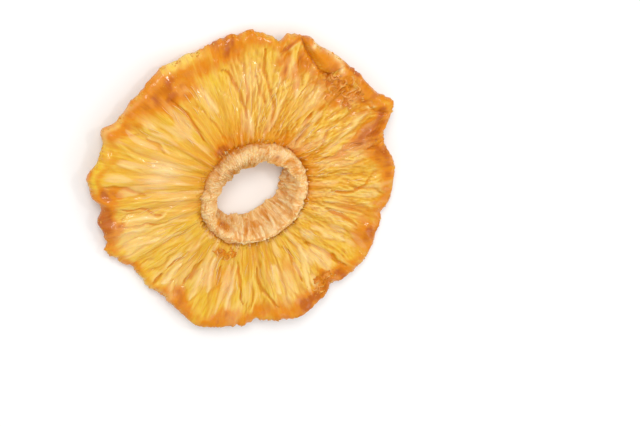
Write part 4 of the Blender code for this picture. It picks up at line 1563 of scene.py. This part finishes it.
def add_piece(context, make, kind):
    """Makes a piece with its material. It rides with the ring and stands for its solid."""
    scene = context.scene
    mesh = make(scene.ring_shape)
    piece = bpy.data.objects.new(mesh.name, mesh)
    scene.collection.objects.link(piece)
    mesh.materials.append(fruit_material(mesh.name, scene.ring_colours, kind))
    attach(piece, "root")
    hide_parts(NODE)


class PINEAPPLE_OT_flesh(Operator):
    """Make the slice of flesh"""

    bl_idname = "pineapple.make_flesh"
    bl_label = "Make Flesh"

    def execute(self, context):
        add_piece(context, flesh_piece, "flesh")
        return {"FINISHED"}


class PINEAPPLE_OT_collar(Operator):
    """Make the collar of the core"""

    bl_idname = "pineapple.make_collar"
    bl_label = "Make Collar"

    def execute(self, context):
        add_piece(context, collar_piece, "collar")
        return {"FINISHED"}


class PINEAPPLE_OT_loose(Operator):
    """Make the loose fibres and the crust"""

    bl_idname = "pineapple.make_loose"
    bl_label = "Make Fibres and Crust"

    def execute(self, context):
        if not TOP_OF_FLESH:
            raise RuntimeError("make the flesh first: the fibres and crumbs lie on it")
        add_piece(context, fringe_piece, "collar")
        add_piece(context, lying_piece, "collar")
        add_piece(context, pads_piece, "flesh")
        add_piece(context, crumbs_piece, "flesh")
        return {"FINISHED"}


# Stage: the ring is seen from 20 degrees off the upright, towards the upper left.
VIEW_TILT = 20.0
VIEW_TOWARDS = 130.0
VIEW_DISTANCE = 0.376
VIEW_LENS = 85.0
SENSOR_WIDTH = 36.0
IMAGE_WIDTH = 640
IMAGE_HEIGHT = 427
RING_PIXEL = (244.0, 183.0)
RING_MIDDLE = (0.0, 0.0, 0.0045)


# Lights: place, size, colour, and the stage's setting that holds the power.
LIGHTS = {
    "key": ((-0.14, 0.3, 0.52), 0.26, (1.0, 0.985, 0.96), "key_power"),
    "fill": ((0.45, -0.2, 0.35), 0.4, (0.97, 0.985, 1.0), "fill_power"),
    "glint": ((0.22, 0.2, 0.5), 0.06, (1.0, 0.99, 0.97), "glint_power"),
}


def make_lights(scene):
    """Round soft lights that face the ring."""
    for name, (place, size, colour, power) in LIGHTS.items():
        data = bpy.data.lights.new(name, "AREA")
        data.shape = "DISK"
        data.size = size
        data.energy = getattr(scene.ring_stage, power)
        data.color = colour
        lamp = bpy.data.objects.new(name, data)
        lamp.location = place
        lamp.rotation_mode = "QUATERNION"
        aim = Vector(RING_MIDDLE) - Vector(place)
        lamp.rotation_quaternion = aim.to_track_quat("-Z", "Y")
        scene.collection.objects.link(lamp)


def make_camera(scene):
    """Places the camera so that the ring lies where the picture has it, with no shift."""
    tilt = math.radians(VIEW_TILT)
    towards = math.radians(VIEW_TOWARDS)
    flat = math.sin(tilt)
    to_camera = Vector((flat * math.cos(towards), flat * math.sin(towards), math.cos(tilt)))
    side = Vector((1.0, 0.0, 0.0))
    side = (side - to_camera * side.dot(to_camera)).normalized()
    up = to_camera.cross(side)
    focal = VIEW_LENS / SENSOR_WIDTH * IMAGE_WIDTH
    right_of_middle = RING_PIXEL[0] - IMAGE_WIDTH / 2
    above_middle = IMAGE_HEIGHT / 2 - RING_PIXEL[1]
    back = (to_camera * focal + side * right_of_middle + up * above_middle).normalized()
    side = (side - back * side.dot(back)).normalized()
    data = bpy.data.cameras.new("camera")
    data.lens = VIEW_LENS
    data.sensor_width = SENSOR_WIDTH
    data.dof.use_dof = False
    data.clip_start = 0.01
    data.clip_end = 10.0
    camera = bpy.data.objects.new("camera", data)
    turn = Matrix((side, back.cross(side), back)).transposed().to_4x4()
    place = Vector(RING_MIDDLE) + to_camera * VIEW_DISTANCE
    camera.matrix_world = Matrix.Translation(place) @ turn
    scene.collection.objects.link(camera)
    scene.camera = camera


def floor_material(colour):
    material = bpy.data.materials.new("pale_table")
    material.use_nodes = True
    shader = material.node_tree.nodes["Principled BSDF"]
    shader.inputs["Base Color"].default_value = rgba(colour)
    shader.inputs["Roughness"].default_value = 0.8
    shader.inputs["Specular IOR Level"].default_value = 0.1
    return material


class PINEAPPLE_OT_stage(Operator):
    """Make the table, the lights and the camera"""

    bl_idname = "pineapple.make_stage"
    bl_label = "Make Stage"

    def execute(self, context):
        scene = context.scene
        settings = scene.ring_stage
        bpy.ops.mesh.primitive_plane_add(size=4.0, location=(0.0, 0.0, -0.0001))
        floor = context.object
        floor.name = "table"
        floor.data.materials.append(floor_material(settings.floor))
        world = bpy.data.worlds.new("soft_room")
        world.use_nodes = True
        background = world.node_tree.nodes["Background"].inputs
        background["Color"].default_value = (1.0, 1.0, 1.0, 1.0)
        background["Strength"].default_value = settings.world_strength
        scene.world = world
        make_lights(scene)
        make_camera(scene)
        scene.view_settings.view_transform = "Standard"
        scene.view_settings.look = "None"
        return {"FINISHED"}


class PINEAPPLE_PT_panel(Panel):
    """Dried pineapple ring"""

    bl_idname = "PINEAPPLE_PT_panel"
    bl_label = "Dried Ring"
    bl_space_type = "VIEW_3D"
    bl_region_type = "UI"
    bl_category = "Dried Ring"

    def draw(self, context):
        layout = self.layout
        scene = context.scene
        for settings in (scene.ring_shape, scene.ring_colours, scene.ring_stage):
            column = layout.column(align=True)
            for name in settings.__annotations__:
                column.prop(settings, name)
        for operator in OPERATORS:
            layout.operator(operator.bl_idname)


OPERATORS = (
    PINEAPPLE_OT_flesh,
    PINEAPPLE_OT_collar,
    PINEAPPLE_OT_loose,
    PINEAPPLE_OT_stage,
)
CLASSES = (RingShape, RingColours, StageSettings, *OPERATORS, PINEAPPLE_PT_panel)


def register():
    for entry in CLASSES:
        bpy.utils.register_class(entry)
    bpy.types.Scene.ring_shape = PointerProperty(type=RingShape)
    bpy.types.Scene.ring_colours = PointerProperty(type=RingColours)
    bpy.types.Scene.ring_stage = PointerProperty(type=StageSettings)


def unregister():
    del bpy.types.Scene.ring_stage
    del bpy.types.Scene.ring_colours
    del bpy.types.Scene.ring_shape
    for entry in reversed(CLASSES):
        bpy.utils.unregister_class(entry)


def main():
    register()
    bpy.ops.pineapple.make_flesh()
    bpy.ops.pineapple.make_collar()
    bpy.ops.pineapple.make_loose()
    bpy.ops.pineapple.make_stage()
    bpy.context.view_layer.update()


if __name__ == "__main__":
    main()
